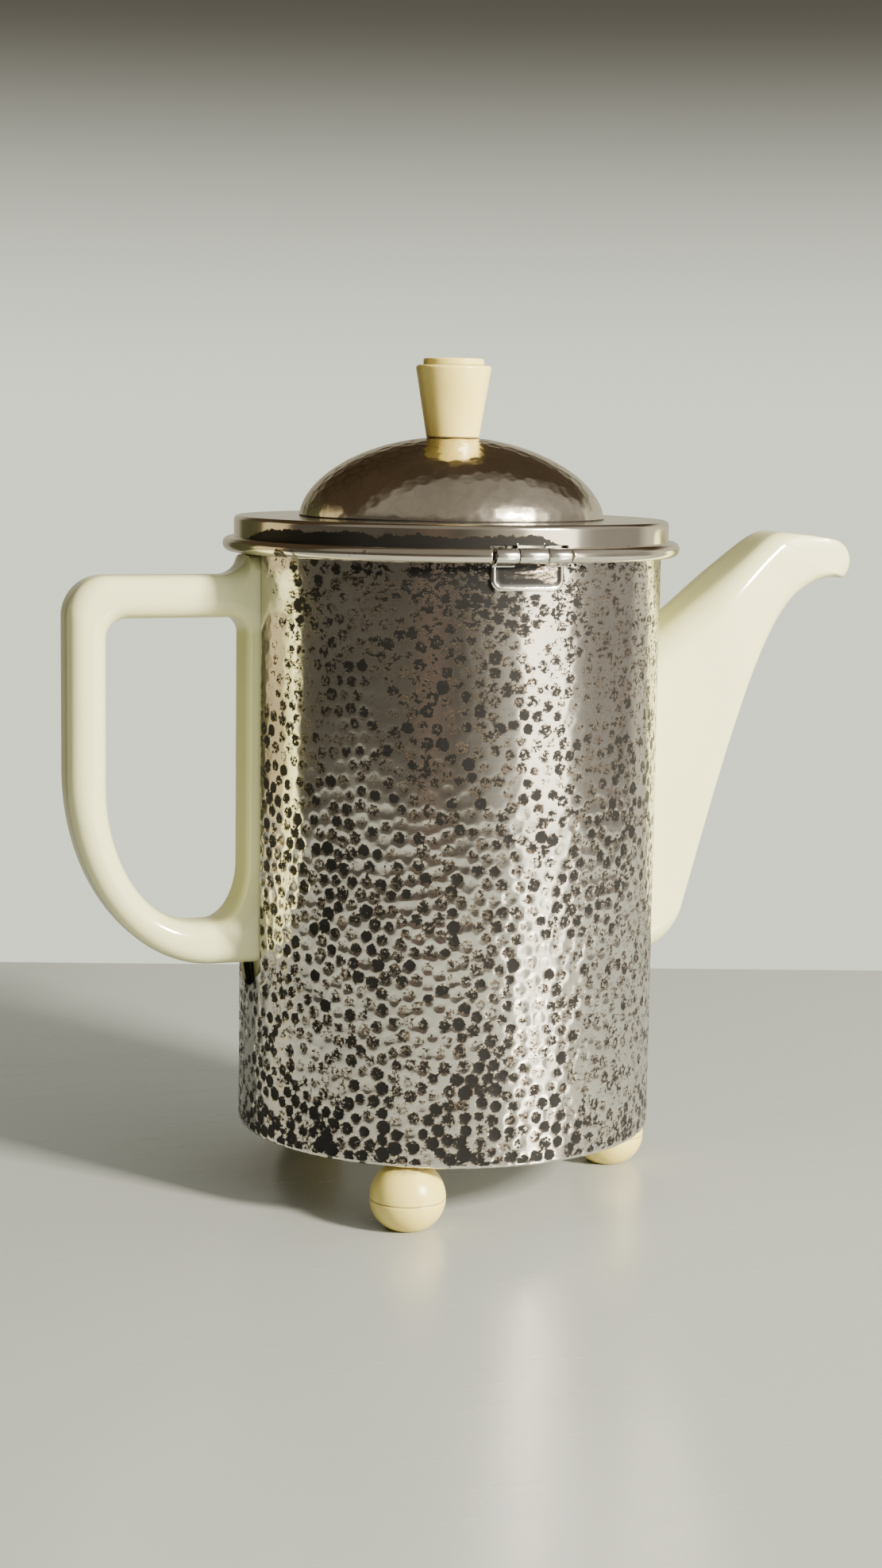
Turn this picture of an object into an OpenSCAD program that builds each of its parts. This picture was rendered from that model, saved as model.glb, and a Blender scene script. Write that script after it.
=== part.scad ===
// Insulated coffee pot: a porcelain pot in a hammered, silver-plated jacket with a hinged lid.
// Millimetres. +Z is up, +X points to the spout, -X to the handle and -Y to the lid's hinge.
// The origin is at the height of the table, midway between the ends of the handle and the spout.

/* [Jacket] */
// Outer diameter of the jacket
jacket_d = 105; // [104:0.5:108]
// Height of the jacket's bottom edge above the table
jacket_base = 16.3; // [15:0.1:18]
// Height of the jacket's top edge above the table
jacket_top = 167.9; // [164:0.1:176]
// Thickness of the silver-plated sheet
sheet = 0.8; // [0.6:0.1:0.9]
// Thickness of the felt lining
felt = 2.2; // [1.8:0.1:2.2]
// Depth of the edging turned in round the two slots
edging_depth = 1.7; // [1:0.1:1.7]

/* [Feet] */
// Diameter of a ball foot
foot_d = 18.5; // [15:0.5:20]
// Radius of the circle that the feet stand on
foot_circle_r = 46.5; // [42:0.5:46.5]
// Height of the moulding seam round a foot
foot_seam = 7.4; // [6:0.1:9]

/* [Pot] */
// Wall thickness of the porcelain
porcelain = 4; // [3.5:0.5:5]
// Width of the opening through the pot's wall into the spout
pour_width = 12; // [8:1:14]

/* [Handle] */
// How far the handle reaches from the jacket's axis
handle_reach = 98.2; // [95:0.1:106]
// Height of the handle's top above the table
handle_top = 155; // [152:0.1:156]
// Height of the handle's bottom above the table
handle_bottom = 59.4; // [57:0.1:62]
// Width of the handle's bar
bar_width = 14; // [12:0.5:16]
// Thickness of the bar along its outer side
bar_depth = 9.7; // [8:0.1:12]
// Width of the rib that lies in the jacket's slot
rib_width = 16.8; // [14:0.1:17]

/* [Spout] */
// Width of the spout where it leaves the jacket
spout_width = 26; // [22:0.5:26]
// Width of the spout at its lip
lip_width = 15; // [13:0.5:16]

/* [Lid] */
// Diameter of the lid's wire bead
bead_d = 3.6; // [3.2:0.1:4]
// Clearance between the lid's wall and the jacket
lid_gap = 0.9; // [0.8:0.1:1.1]
// Diameter of the dome
dome_d = 76; // [70:1:80]
// Height of the dome above the lid's flat ring
dome_h = 20; // [16:0.5:24]
// Diameter of the knob at its foot
knob_foot_d = 13.2; // [12:0.2:16]
// Diameter of the knob at its top
knob_top_d = 18.7; // [17:0.1:20]
// Height of the knob
knob_h = 17.5; // [15:0.5:20]
// Diameter of the disc on top of the knob
cap_d = 15.1; // [12:0.1:16]
// Height of that disc
cap_h = 1.8; // [1:0.1:3]

/* [Hinge] */
// How far the hinge pin lies below the jacket's top edge
hinge_drop = 5.9; // [5.8:0.1:6.2]
// Overall width of the hinge's knuckles
hinge_width = 18.6; // [16:0.2:20]
// Width of the centre knuckle
centre_knuckle = 7; // [5:0.2:8]
// Radius of the hinge pin
pin_r = 0.75; // [0.6:0.05:0.9]
// Height of the hinge plate below its knuckles
plate_drop = 8.3; // [6:0.1:10]

/* [Hidden] */
$fn = 96;

// Jacket
jacket_r = jacket_d / 2;
jacket_inner_r = jacket_r - sheet;
floor_top = jacket_base + sheet;
slot_clearance = 1;
handle_slot_width = rib_width + slot_clearance;
handle_slot_bottom = handle_bottom - 6.4;
spout_slot_width = spout_width + 0.9;
spout_slot_bottom = handle_slot_bottom;
felt_floor_h = 3;
felt_top = jacket_top - 8;

// Feet and their fastenings
foot_angles = [-120, 0, 120];
foot_sole_r = 4.7;
foot_top_r = 2.8;
foot_screw_r = 1.5;
foot_screw_head_r = 2.6;
foot_screw_head_h = 1.8;
foot_screw_tip = 5.6;
foot_washer_r = 2.9;
washer_h = 0.5;
thread_gap = 0.05;

// Pot
pot_r = jacket_inner_r - felt - 0.3;
pot_base = floor_top + felt_floor_h;
pot_floor_h = 4.5;
pot_rim = jacket_top - 2;
pot_base_corner = 5;
pot_inner_corner = 8;
pour_low = 75;
pour_high = 110;

// Handle: a closed loop of cross-sections between the finger hole and the outline
rib_face = jacket_r + 1.7;
rib_back = pot_r - porcelain + 0.3;
hole_reach = handle_reach - bar_depth;
hole_top = handle_top - 10.3;
hole_bottom = handle_bottom + 10.6;
flare_top = jacket_top - hinge_drop - bead_d / 2 - 0.4;
bar_corner = 4.5;

// Spout, and where the jacket's axis lies along X
spout_reach = 109.4;
axis_x = (handle_reach - spout_reach) / 2;

// Lid and hinge
pin_z = jacket_top - hinge_drop;
bead_r = bead_d / 2;
bead_circle_r = jacket_r + lid_gap + bead_r;
collar_inner_r = jacket_r + lid_gap;
collar_r = collar_inner_r + sheet;
ring_bottom = jacket_top + 0.3;
ring_top = ring_bottom + sheet;
ring_corner = 1.2;
collar_bottom = pin_z + 0.6;
dome_r = dome_d / 2;
dome_fullness = 1.14;
dome_ledge = 1.5;
lid_felt_h = 2;
knob_screw_r = 2;
knob_screw_reach = 11;
knob_head_r = 3.5;
knob_head_h = 2.4;
knob_washer_r = 5;
knob_washer_h = 0.8;
knob_shoulder = 0.8;
knuckle_gap = 0.25;
knuckle_relief = 0.4;
bead_gap = 0.4;
pin_fit = 0.05;
hinge_plate_width = hinge_width - 0.5;
plate_corner = 2.5;
hinge_relief = pin_z + bead_r + 0.5;

// ---- functions

// One point of a cubic curve with four control points
function bezier(a, b, c, d, t) =
    pow(1 - t, 3) * a + 3 * pow(1 - t, 2) * t * b + 3 * (1 - t) * t * t * c + t * t * t * d;

// n points along a cubic curve, without its last point
function curve(a, b, c, d, n) = [for (i = [0:n - 1]) bezier(a, b, c, d, i / n)];

// n points along a straight line, without its last point
function run(a, b, n) = [for (i = [0:n - 1]) a + (b - a) * i / n];

// n points along an elliptical arc, without its last point
function arc(centre, rx, rz, from, to, n) =
    [for (i = [0:n - 1]) let (a = from + (to - from) * i / n) centre + [rx * cos(a), rz * sin(a)]];

// A smooth step from 0 to 1
function ease(t) = let (u = min(1, max(0, t))) u * u * (3 - 2 * u);

// Rounded rectangle of length l along its own axis and width w across it. Its corners have radius
// near at the start and radius far at the end.
function rounded(l, w, near, far, n = 5) = [
    for (q = [0:3]) let (
            c = min(q == 0 || q == 3 ? far : near, l / 2 - 0.05, w / 2 - 0.05),
            end = q == 0 || q == 3 ? l - c : c,
            side = q < 2 ? w / 2 - c : c - w / 2)
        for (j = [0:n]) let (a = 90 * q + 90 * j / n) [end + c * cos(a), side + c * sin(a)]
];

// A cross-section is [start, end, width, start corner, end corner], with start and end in the XZ
// plane. This gives its outline in space.
function section_points(s) =
    let (l = norm(s[1] - s[0]), d = (s[1] - s[0]) / l)
    [for (p = rounded(l, s[2], s[3], s[4])) [s[0][0] + d[0] * p[0], p[1], s[0][1] + d[1] * p[0]]];

// Height of the dome's outer surface at a distance from the axis
function dome_height(r) = ring_top + dome_h * pow(sqrt(1 - pow(r / dome_r, 2)), dome_fullness);

// Profile of a dome of the given radius and height, from its rim to its top
function dome_profile(radius, height) =
    [for (a = [0:5:90]) [radius * cos(a), ring_top + height * pow(sin(a), dome_fullness)]];

// ---- shared shapes

// A closed loop of cross-sections, each joined to the next and the last to the first
module section_loop(sections) {
    rings = [for (s = sections) section_points(s)];
    n = len(rings);
    m = len(rings[0]);
    points = [for (r = rings) each r];
    faces = [
        for (i = [0:n - 1]) for (j = [0:m - 1]) let (
                a = i * m + j,
                b = i * m + (j + 1) % m,
                c = (i + 1) % n * m + (j + 1) % m,
                d = (i + 1) % n * m + j)
            each [[a, b, c], [a, c, d]]
    ];
    polyhedron(points = points, faces = faces);
}

// A hollow cylinder between two heights
module tube(outer, inner, low, high) {
    translate([0, 0, low]) difference() {
        cylinder(r = outer, h = high - low);
        translate([0, 0, -1]) cylinder(r = inner, h = high - low + 2);
    }
}

// The space of a slot that is round at its bottom and open at its top, towards +X or -X
module slot(width, bottom, towards) {
    mirror([towards < 0 ? 1 : 0, 0, 0]) rotate([90, 0, 90]) linear_extrude(height = jacket_r + 10) {
        translate([0, bottom + width / 2]) circle(d = width);
        translate([-width / 2, bottom + width / 2]) square([width, jacket_top]);
    }
}

// Edging inside the jacket's wall, along the sides and the bottom of a slot
module slot_edging(width, bottom, towards) {
    difference() {
        intersection() {
            tube(jacket_inner_r, jacket_inner_r - edging_depth, floor_top, jacket_top - 1);
            slot(width + 2 * sheet, bottom - sheet, towards);
        }
        slot(width, bottom, towards);
    }
}

// Places its children at each foot
module at_feet() {
    for (a = foot_angles) rotate([0, 0, a]) translate([foot_circle_r, 0, 0]) children();
}

// Moves a piece from the jacket's axis to its place in the part
module placed() {
    translate([axis_x, 0, 0]) children();
}

// An upright cylinder between two heights
module rod(r, low, high) {
    translate([0, 0, low]) cylinder(r = r, h = high - low);
}

// A cylinder round the hinge pin's axis, between two places along X
module pin_rod(r, from, to) {
    translate([from, -bead_circle_r, pin_z]) rotate([0, 90, 0]) cylinder(r = r, h = to - from);
}

// ---- jacket

module jacket_wall() {
    color("silver") difference() {
        tube(jacket_r, jacket_inner_r, jacket_base, jacket_top);
        slot(handle_slot_width, handle_slot_bottom, -1);
        slot(spout_slot_width, spout_slot_bottom, 1);
    }
}

module handle_slot_edging() {
    color("silver") slot_edging(handle_slot_width, handle_slot_bottom, -1);
}

module spout_slot_edging() {
    color("silver") slot_edging(spout_slot_width, spout_slot_bottom, 1);
}

module jacket_floor() {
    color("silver") difference() {
        rod(jacket_inner_r, jacket_base, floor_top);
        at_feet() rod(foot_screw_r + thread_gap, jacket_base - 1, floor_top + 1);
    }
}

module felt_wall() {
    color("darkseagreen") difference() {
        tube(jacket_inner_r, jacket_inner_r - felt, floor_top, felt_top);
        slot(handle_slot_width + 2 * sheet + 0.2, handle_slot_bottom - sheet - 0.1, -1);
        slot(spout_slot_width + 2 * sheet + 0.2, spout_slot_bottom - sheet - 0.1, 1);
    }
}

module felt_floor() {
    color("darkseagreen") difference() {
        rod(jacket_inner_r - felt, floor_top, pot_base);
        at_feet() rod(foot_washer_r + 0.3, floor_top - 1, pot_base + 1);
    }
}

// Ball foot: two half ellipses that meet at the seam, cut flat at the sole and under the floor
module foot() {
    top_angle = acos(2 * foot_top_r / foot_d);
    sole_angle = acos(2 * foot_sole_r / foot_d);
    rise = (jacket_base - foot_seam) / sin(top_angle);
    fall = foot_seam / sin(sole_angle);
    steps = 10;
    profile = concat(
        [[0, 0]],
        arc([0, foot_seam], foot_d / 2, fall, -sole_angle, 0, steps),
        arc([0, foot_seam], foot_d / 2, rise, 0, top_angle, steps),
        [[foot_top_r, jacket_base], [0, jacket_base]]);
    color("khaki") difference() {
        rotate_extrude() polygon(profile);
        rod(foot_screw_r + thread_gap, foot_screw_tip - 0.3, jacket_base + 1);
    }
}

module foot_at(angle) {
    rotate([0, 0, angle]) translate([foot_circle_r, 0, 0]) foot();
}

module foot_screws() {
    head_low = floor_top + washer_h;
    color("goldenrod") at_feet() {
        rod(foot_screw_r, foot_screw_tip, head_low + 0.1);
        difference() {
            rod(foot_screw_head_r, head_low, head_low + foot_screw_head_h);
            translate([-foot_screw_head_r, -0.4, head_low + 1]) cube([2 * foot_screw_head_r, 0.8, 1]);
        }
    }
}

module foot_washers() {
    color("gray") at_feet() difference() {
        rod(foot_washer_r, floor_top, floor_top + washer_h);
        rod(foot_screw_r + thread_gap, floor_top - 1, floor_top + washer_h + 1);
    }
}

// ---- porcelain pot

// Upright profile of a pot with a rounded lower corner
module pot_profile(r, low, high, corner) {
    translate([0, low]) square([r - corner, 2 * corner]);
    translate([r - corner, low + corner]) intersection() {
        circle(r = corner);
        translate([-1, -corner]) square([corner + 1, corner + 1]);
    }
    translate([0, low + corner]) square([r, high - low - corner]);
}

module pot_body() {
    rim_r = porcelain / 2;
    color("ivory") difference() {
        rotate_extrude() {
            difference() {
                pot_profile(pot_r, pot_base, pot_rim - rim_r, pot_base_corner);
                pot_profile(pot_r - porcelain, pot_base + pot_floor_h, pot_rim, pot_inner_corner);
            }
            translate([pot_r - rim_r, pot_rim - rim_r]) circle(r = rim_r);
        }
        rotate([90, 0, 90]) linear_extrude(height = jacket_r) {
            for (z = [pour_low, pour_high] + [1, -1] * pour_width / 2)
                translate([0, z]) circle(d = pour_width);
            translate([-pour_width / 2, pour_low + pour_width / 2])
                square([pour_width, pour_high - pour_low - pour_width]);
        }
    }
}

// The handle's bar round the finger hole, with the rib that lies against the pot
module pot_handle() {
    hole = concat(
        run([rib_face + 4.2, hole_top], [hole_reach - 5, hole_top], 5),
        arc([hole_reach - 5, hole_top - 5], 5, 5, 90, 0, 7),
        run([hole_reach, hole_top - 5], [hole_reach, hole_bottom + 34], 5),
        arc([hole_reach - 22.5, hole_bottom + 34], 22.5, 34, 0, -90, 14),
        run([hole_reach - 22.5, hole_bottom], [rib_face + 8, hole_bottom], 3),
        arc([rib_face + 8, hole_bottom + 14], 8, 14, -90, -180, 7),
        run([rib_face, hole_bottom + 14], [rib_face, hole_top - 4.2], 6),
        arc([rib_face + 4.2, hole_top - 4.2], 4.2, 4.2, 180, 90, 9));
    outline = concat(
        run([rib_face + 5.8, handle_top], [handle_reach - 10, handle_top], 5),
        arc([handle_reach - 10, handle_top - 10], 10, 10, 90, 0, 7),
        run([handle_reach, handle_top - 10], [handle_reach, handle_bottom + 48.6], 5),
        arc([handle_reach - 36.2, handle_bottom + 48.6], 36.2, 48.6, 0, -90, 14),
        run([handle_reach - 36.2, handle_bottom], [jacket_r, handle_bottom], 3),
        run([jacket_r, handle_bottom], [rib_back, handle_bottom], 2),
        run([rib_back, handle_bottom], [rib_back, hole_bottom + 14], 5),
        run([rib_back, hole_bottom + 14], [rib_back, hole_top - 4.2], 6),
        run([rib_back, hole_top - 4.2], [rib_back, flare_top], 3),
        run([rib_back, flare_top], [rib_face - 0.4, flare_top], 2),
        arc([rib_face + 5.8, handle_top + 6.5], 6.5, 6.5, 196, 270, 4));
    sections = [
        for (i = [0:len(hole) - 1]) let (
                middle = (hole[i][0] + outline[i][0]) / 2,
                width = bar_width + (rib_width - bar_width) * ease((rib_face + 5 - middle) / 6))
            [hole[i], outline[i], width, bar_corner, bar_corner]
    ];
    color("ivory") difference() {
        mirror([1, 0, 0]) section_loop(sections);
        rod(pot_r, 0, jacket_top);
    }
}

// The spout's outside runs from the pot to the lip, and turns in there to its channel
module pot_spout() {
    top = concat(
        run([46, 133.2], [82, 161.9], 14),
        curve([82, 161.9], [86.5, 165.5], [88.5, 166.2], [93, 165.2], 11),
        [[93, 165.2]]);
    underside = concat(
        curve([46, 56.6], [52, 56.6], [57.5, 59.5], [60, 66.5], 5),
        curve([60, 66.5], [76, 125.3], [85, 152.8], [104, 154], 12),
        curve([104, 154], [105.5, 154.1], [106.7, 153.3], [107.6, 154], 2),
        arc([spout_reach - 5.8, 158.2], 5.8, 5.7, -46, 82, 7));
    outside = [
        for (i = [0:len(top) - 1]) let (x = top[i][0])
            [top[i], underside[i], spout_width + (lip_width - spout_width) * ease((x - 68) / 27),
             8 - 4 * ease((x - 60) / 28), 8 - 4.5 * ease(i / 7)]
    ];
    lip_inside = [[94.3, 164.3], [103.3, 163.1], lip_width - 3.2, 2.8, 2.8];
    channel = [
        for (i = [20, 18, 16, 14, 12, 9, 6, 3, 0]) let (
                s = outside[i],
                d = (s[1] - s[0]) / norm(s[1] - s[0]))
            [s[0] + 4.6 * d, s[1] - 4 * d, s[2] - 8, 3, 3]
    ];
    color("ivory") difference() {
        section_loop(concat(outside, [lip_inside], channel));
        rod(pot_r, 0, jacket_top);
    }
}

// ---- lid

module lid_collar() {
    color("silver") difference() {
        rotate_extrude() difference() {
            union() {
                translate([dome_r - dome_ledge, ring_bottom])
                    square([collar_r - ring_corner - dome_r + dome_ledge, sheet]);
                translate([collar_inner_r, collar_bottom])
                    square([sheet, ring_top - ring_corner - collar_bottom]);
                translate([collar_r - ring_corner, ring_top - ring_corner]) intersection() {
                    circle(r = ring_corner);
                    square([ring_corner, ring_corner]);
                }
                translate([collar_inner_r - 1, ring_bottom]) square([1.1, sheet / 2]);
            }
            translate([bead_circle_r, pin_z]) circle(r = bead_r);
        }
        translate([-hinge_width / 2 - bead_gap, -collar_r - 1, 0])
            cube([hinge_width + 2 * bead_gap, collar_r - dome_r, hinge_relief]);
    }
}

module lid_bead() {
    color("silver") difference() {
        rotate_extrude() translate([bead_circle_r, pin_z]) circle(r = bead_r);
        translate([-hinge_width / 2 - bead_gap, -bead_circle_r - bead_d, pin_z - bead_d])
            cube([hinge_width + 2 * bead_gap, 2 * bead_d, 2 * bead_d]);
    }
}

module lid_dome() {
    outer = dome_profile(dome_r, dome_h);
    inner = dome_profile(dome_r - sheet, dome_h - sheet);
    color("silver") difference() {
        rotate_extrude() polygon(concat(outer, [for (i = [len(inner) - 1:-1:0]) inner[i]]));
        rod(knob_screw_r + thread_gap, ring_top, ring_top + dome_h + 1);
    }
}

module lid_felt() {
    outer = dome_profile(dome_r - sheet - 0.05, dome_h - sheet - 0.05);
    inner = dome_profile(dome_r - sheet - lid_felt_h, dome_h - sheet - lid_felt_h);
    color("darkseagreen") difference() {
        rotate_extrude() polygon(concat(outer, [for (i = [len(inner) - 1:-1:0]) inner[i]]));
        rod(knob_washer_r + 0.5, ring_top, ring_top + dome_h + 1);
    }
}

module lid_knob() {
    low = ring_top + dome_h;
    high = low + knob_h;
    foot_r = knob_foot_d / 2;
    top_r = knob_top_d / 2;
    seat = [for (r = [0, foot_r / 3, foot_r * 2 / 3, foot_r]) [r, dome_height(r)]];
    color("khaki") difference() {
        rotate_extrude() union() {
            polygon(concat(seat, [[top_r, high - knob_shoulder], [top_r - knob_shoulder, high], [0, high]]));
            translate([top_r - knob_shoulder - 0.05, high - knob_shoulder]) circle(r = knob_shoulder);
        }
        rod(knob_screw_r + thread_gap, low - 1, low + knob_screw_reach + 0.4);
    }
}

module knob_cap() {
    low = ring_top + dome_h + knob_h;
    color("khaki") rod(cap_d / 2, low, low + cap_h);
}

module knob_screw() {
    head_high = ring_top + dome_h - sheet - knob_washer_h;
    color("goldenrod") {
        rod(knob_screw_r, head_high - 0.1, ring_top + dome_h + knob_screw_reach);
        difference() {
            rod(knob_head_r, head_high - knob_head_h, head_high);
            translate([-knob_head_r, -0.5, head_high - knob_head_h - 1]) cube([2 * knob_head_r, 1, 2]);
        }
    }
}

module knob_washer() {
    high = ring_top + dome_h - sheet;
    color("gray") difference() {
        rod(knob_washer_r, high - knob_washer_h, high);
        rod(knob_screw_r + thread_gap, high - knob_washer_h - 1, high + 1);
        translate([0, 0, high]) rotate_extrude() polygon([
            [0, 0], [0, 1], [knob_washer_r + 1, 1],
            [knob_washer_r + 1, dome_height(knob_washer_r + 1) - ring_top - dome_h - 0.05]]);
    }
}

// ---- hinge

// Leaf on the jacket: a plate bent to the wall, with the two outer knuckles
module hinge_plate() {
    low = pin_z - plate_drop;
    width = hinge_plate_width;
    inside = centre_knuckle / 2 + knuckle_gap;
    color("silver") difference() {
        union() {
            intersection() {
                tube(collar_inner_r, jacket_r, low, pin_z - 0.5);
                translate([0, 1, 0]) rotate([90, 0, 0]) linear_extrude(height = jacket_d) {
                    translate([-width / 2, low + plate_corner]) square([width, plate_drop]);
                    translate([plate_corner - width / 2, low]) square([width - 2 * plate_corner, plate_drop]);
                    for (side = [-1, 1]) translate([side * (width / 2 - plate_corner), low + plate_corner])
                        circle(r = plate_corner);
                }
            }
            for (side = [-1, 1]) {
                from = side > 0 ? inside : -hinge_width / 2;
                pin_rod(bead_r, from, from + hinge_width / 2 - inside);
                translate([side > 0 ? inside : -width / 2, -bead_circle_r, pin_z - bead_r + 0.2])
                    cube([width / 2 - inside, bead_circle_r - collar_inner_r + 0.2, bead_r - 0.2]);
            }
        }
        pin_rod(pin_r + pin_fit, -hinge_width, hinge_width);
        rod(jacket_r, 0, jacket_top);
    }
}

module hinge_pin() {
    color("gray") pin_rod(pin_r, -hinge_width / 2, hinge_width / 2);
}

// Leaf on the lid: the centre knuckle and the tongue that is soldered to the collar
module hinge_lid_leaf() {
    color("silver") difference() {
        union() {
            pin_rod(bead_r, -centre_knuckle / 2, centre_knuckle / 2);
            translate([-centre_knuckle / 2, -bead_circle_r - knuckle_relief, pin_z])
                cube([centre_knuckle, bead_circle_r + knuckle_relief - collar_r + 0.3, hinge_relief + 1 - pin_z]);
        }
        pin_rod(pin_r + pin_fit, -hinge_width, hinge_width);
        tube(collar_r, 0.1, hinge_relief, ring_top);
    }
}

placed() jacket_wall();
placed() handle_slot_edging();
placed() spout_slot_edging();
placed() jacket_floor();
placed() felt_wall();
placed() felt_floor();
placed() foot_at(foot_angles[0]);  // foot_front
placed() foot_at(foot_angles[1]);  // foot_spout
placed() foot_at(foot_angles[2]);  // foot_back
placed() foot_screws();
placed() foot_washers();
placed() hinge_plate();
placed() hinge_pin();
placed() pot_body();
placed() pot_handle();
placed() pot_spout();
placed() lid_collar();
placed() lid_bead();
placed() lid_dome();
placed() lid_felt();
placed() lid_knob();
placed() knob_cap();
placed() knob_screw();
placed() knob_washer();
placed() hinge_lid_leaf();
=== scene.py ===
"""Looks of an insulated coffee pot: porcelain in a hammered, silver-plated jacket with a hinged lid.

Lengths are worked out in millimetres from the jacket's axis, with places and sizes that come from the
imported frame, and written to the meshes in metres in the frame's own coordinates.
+Z is up, +X points to the spout, -X to the handle and -Y to the lid's hinge.
"""

import math

import bpy
import numpy as np
from bpy.props import FloatProperty, FloatVectorProperty, PointerProperty
from mathutils import Matrix, Vector


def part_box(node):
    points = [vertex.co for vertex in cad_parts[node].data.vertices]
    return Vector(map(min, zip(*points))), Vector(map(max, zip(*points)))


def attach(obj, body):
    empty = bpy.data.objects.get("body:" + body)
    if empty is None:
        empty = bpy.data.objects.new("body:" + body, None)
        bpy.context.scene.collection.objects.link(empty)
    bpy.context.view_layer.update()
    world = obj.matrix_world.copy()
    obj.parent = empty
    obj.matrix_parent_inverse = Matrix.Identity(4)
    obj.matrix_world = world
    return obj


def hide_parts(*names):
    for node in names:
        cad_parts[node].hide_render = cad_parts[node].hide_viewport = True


bl_info = {
    "name": "Coffee pot in a hammered jacket",
    "version": (1, 0, 0),
    "blender": (4, 5, 0),
    "location": "View3D > Sidebar > Coffee pot",
    "description": "Hammered silver plate, porcelain, ivory plastic and felt for the coffee pot's frame",
    "category": "Object",
}

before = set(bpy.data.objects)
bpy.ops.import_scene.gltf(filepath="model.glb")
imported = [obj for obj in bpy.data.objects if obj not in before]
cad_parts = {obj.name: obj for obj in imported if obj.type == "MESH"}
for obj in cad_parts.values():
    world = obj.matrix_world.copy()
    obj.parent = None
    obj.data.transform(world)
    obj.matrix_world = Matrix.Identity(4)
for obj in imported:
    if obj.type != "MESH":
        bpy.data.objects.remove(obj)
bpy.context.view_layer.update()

MM = 0.001

axis_x = (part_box("jacket_wall")[0][0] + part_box("jacket_wall")[1][0]) / 2 / MM
AXIS = np.array([axis_x, 0, 0])


def box(node):
    """Lowest and highest corner of a CAD node, in millimetres from the jacket's axis."""
    low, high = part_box(node)
    return np.array(low) / MM - AXIS, np.array(high) / MM - AXIS


# ---- places and sizes that come from the frame

wall_low, wall_high = box("jacket_wall")
jacket_r = wall_high[1]
jacket_base = wall_low[2]
jacket_top = wall_high[2]
sheet = box("jacket_floor")[1][2] - jacket_base

pin_low, pin_high = box("hinge_pin")
pin_z = (pin_low[2] + pin_high[2]) / 2
pin_y = (pin_low[1] + pin_high[1]) / 2
hinge_half = pin_high[0]
plate_half = hinge_half - 0.25
knuckle_half = box("hinge_lid_leaf")[1][0]

bead_low, bead_high = box("lid_bead")
bead_r = (bead_high[2] - bead_low[2]) / 2
bead_circle_r = bead_high[1] - bead_r

collar_low, collar_high = box("lid_collar")
collar_r = collar_high[1]
ring_top = collar_high[2]
collar_bottom = collar_low[2]

dome_r = box("lid_dome")[1][0]
dome_top = box("lid_dome")[1][2]
dome_fullness = 1.14
dome_hole_r = dome_r - 1.5

handle_low, handle_high = box("pot_handle")
handle_reach = -handle_low[0]
handle_bottom = handle_low[2]
handle_top = 155.0
rib_width = handle_high[1] - handle_low[1]
bar_width = 14.0
spout_width = 2 * box("pot_spout")[1][1]
lip_width = 15.0
porcelain_fineness = 4

handle_slot_width = rib_width + 1
spout_slot_width = spout_width + 0.9
slot_bottom = handle_bottom - 6.4

# Radius at which a turned profile stops short of its axis, where a cap closes it.
core_r = 0.4


# ---- outlines

def ease(t):
    """A smooth step from 0 to 1: three t squared minus two t cubed."""
    t = np.clip(t, 0, 1)
    return t * t * (3 - 2 * t)


def run(a, b, n):
    """n points along a straight line, without its last point."""
    t = np.arange(n)[:, None] / n
    return np.array(a) * (1 - t) + np.array(b) * t


def arc(centre, rx, rz, start, stop, n):
    """n points along an elliptical arc between two angles in degrees, without its last point."""
    a = np.radians(start + (stop - start) * np.arange(n) / n)
    return np.array(centre) + np.stack([rx * np.cos(a), rz * np.sin(a)], axis=1)


def curve(a, b, c, d, n):
    """n points along a cubic curve with four control points, without its last point."""
    t = np.arange(n)[:, None] / n
    a, b, c, d = map(np.array, (a, b, c, d))
    return (1 - t) ** 3 * a + 3 * (1 - t) ** 2 * t * b + 3 * (1 - t) * t**2 * c + t**3 * d


# ---- meshes

def grid_faces(rows, columns, around=True, first=0):
    """Four-sided faces of a grid of points counted row by row; around joins each row's ends."""
    last = columns if around else columns - 1
    i, j = np.meshgrid(np.arange(rows - 1), np.arange(last), indexing="ij")
    k = (j + 1) % columns
    corners = [i * columns + j, i * columns + k, (i + 1) * columns + k, (i + 1) * columns + j]
    return first + np.stack([c.ravel() for c in corners], axis=1)


def shell(points, closed=False):
    """A skin over rings of points, given as an array of ring, place in the ring and x, y, z.

    Each ring is joined to the next. A closed shell joins its last ring to its first; another has
    its first and last ring capped with triangles to their middle points.
    """
    rows, columns = points.shape[:2]
    flat = points.reshape(-1, 3)
    if closed:
        return flat, [grid_faces(rows + 1, columns) % (rows * columns)]
    j = np.arange(columns)
    k = (j + 1) % columns
    low = np.full(columns, len(flat))
    last = (rows - 1) * columns
    caps = [np.stack([k, j, low], axis=1), np.stack([last + j, last + k, low + 1], axis=1)]
    flat = np.vstack([flat, points[0].mean(axis=0), points[-1].mean(axis=0)])
    return flat, [grid_faces(rows, columns)] + caps


def joined(*shells):
    """Several shells as one set of points and faces."""
    points, faces, count = [], [], 0
    for some_points, some_faces in shells:
        points.append(some_points)
        faces += [f + count for f in some_faces]
        count += len(some_points)
    return np.vstack(points), faces


def volume(points, faces):
    """Enclosed volume: the sum over a fan of triangles of a . (b x c) / 6."""
    total = 0.0
    for f in faces:
        for k in range(1, f.shape[1] - 1):
            a, b, c = points[f[:, 0]], points[f[:, k]], points[f[:, k + 1]]
            total += np.einsum("ij,ij->", a, np.cross(b, c)) / 6
    return total


def welded(points, faces, values):
    """Points that coincide become one, in the points, the faces and the values at the points."""
    _, keep, place = np.unique(np.round(points, 5), axis=0, return_index=True, return_inverse=True)
    place = place.ravel()
    return points[keep], [place[f] for f in faces], {n: v[keep] for n, v in values.items()}


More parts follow.
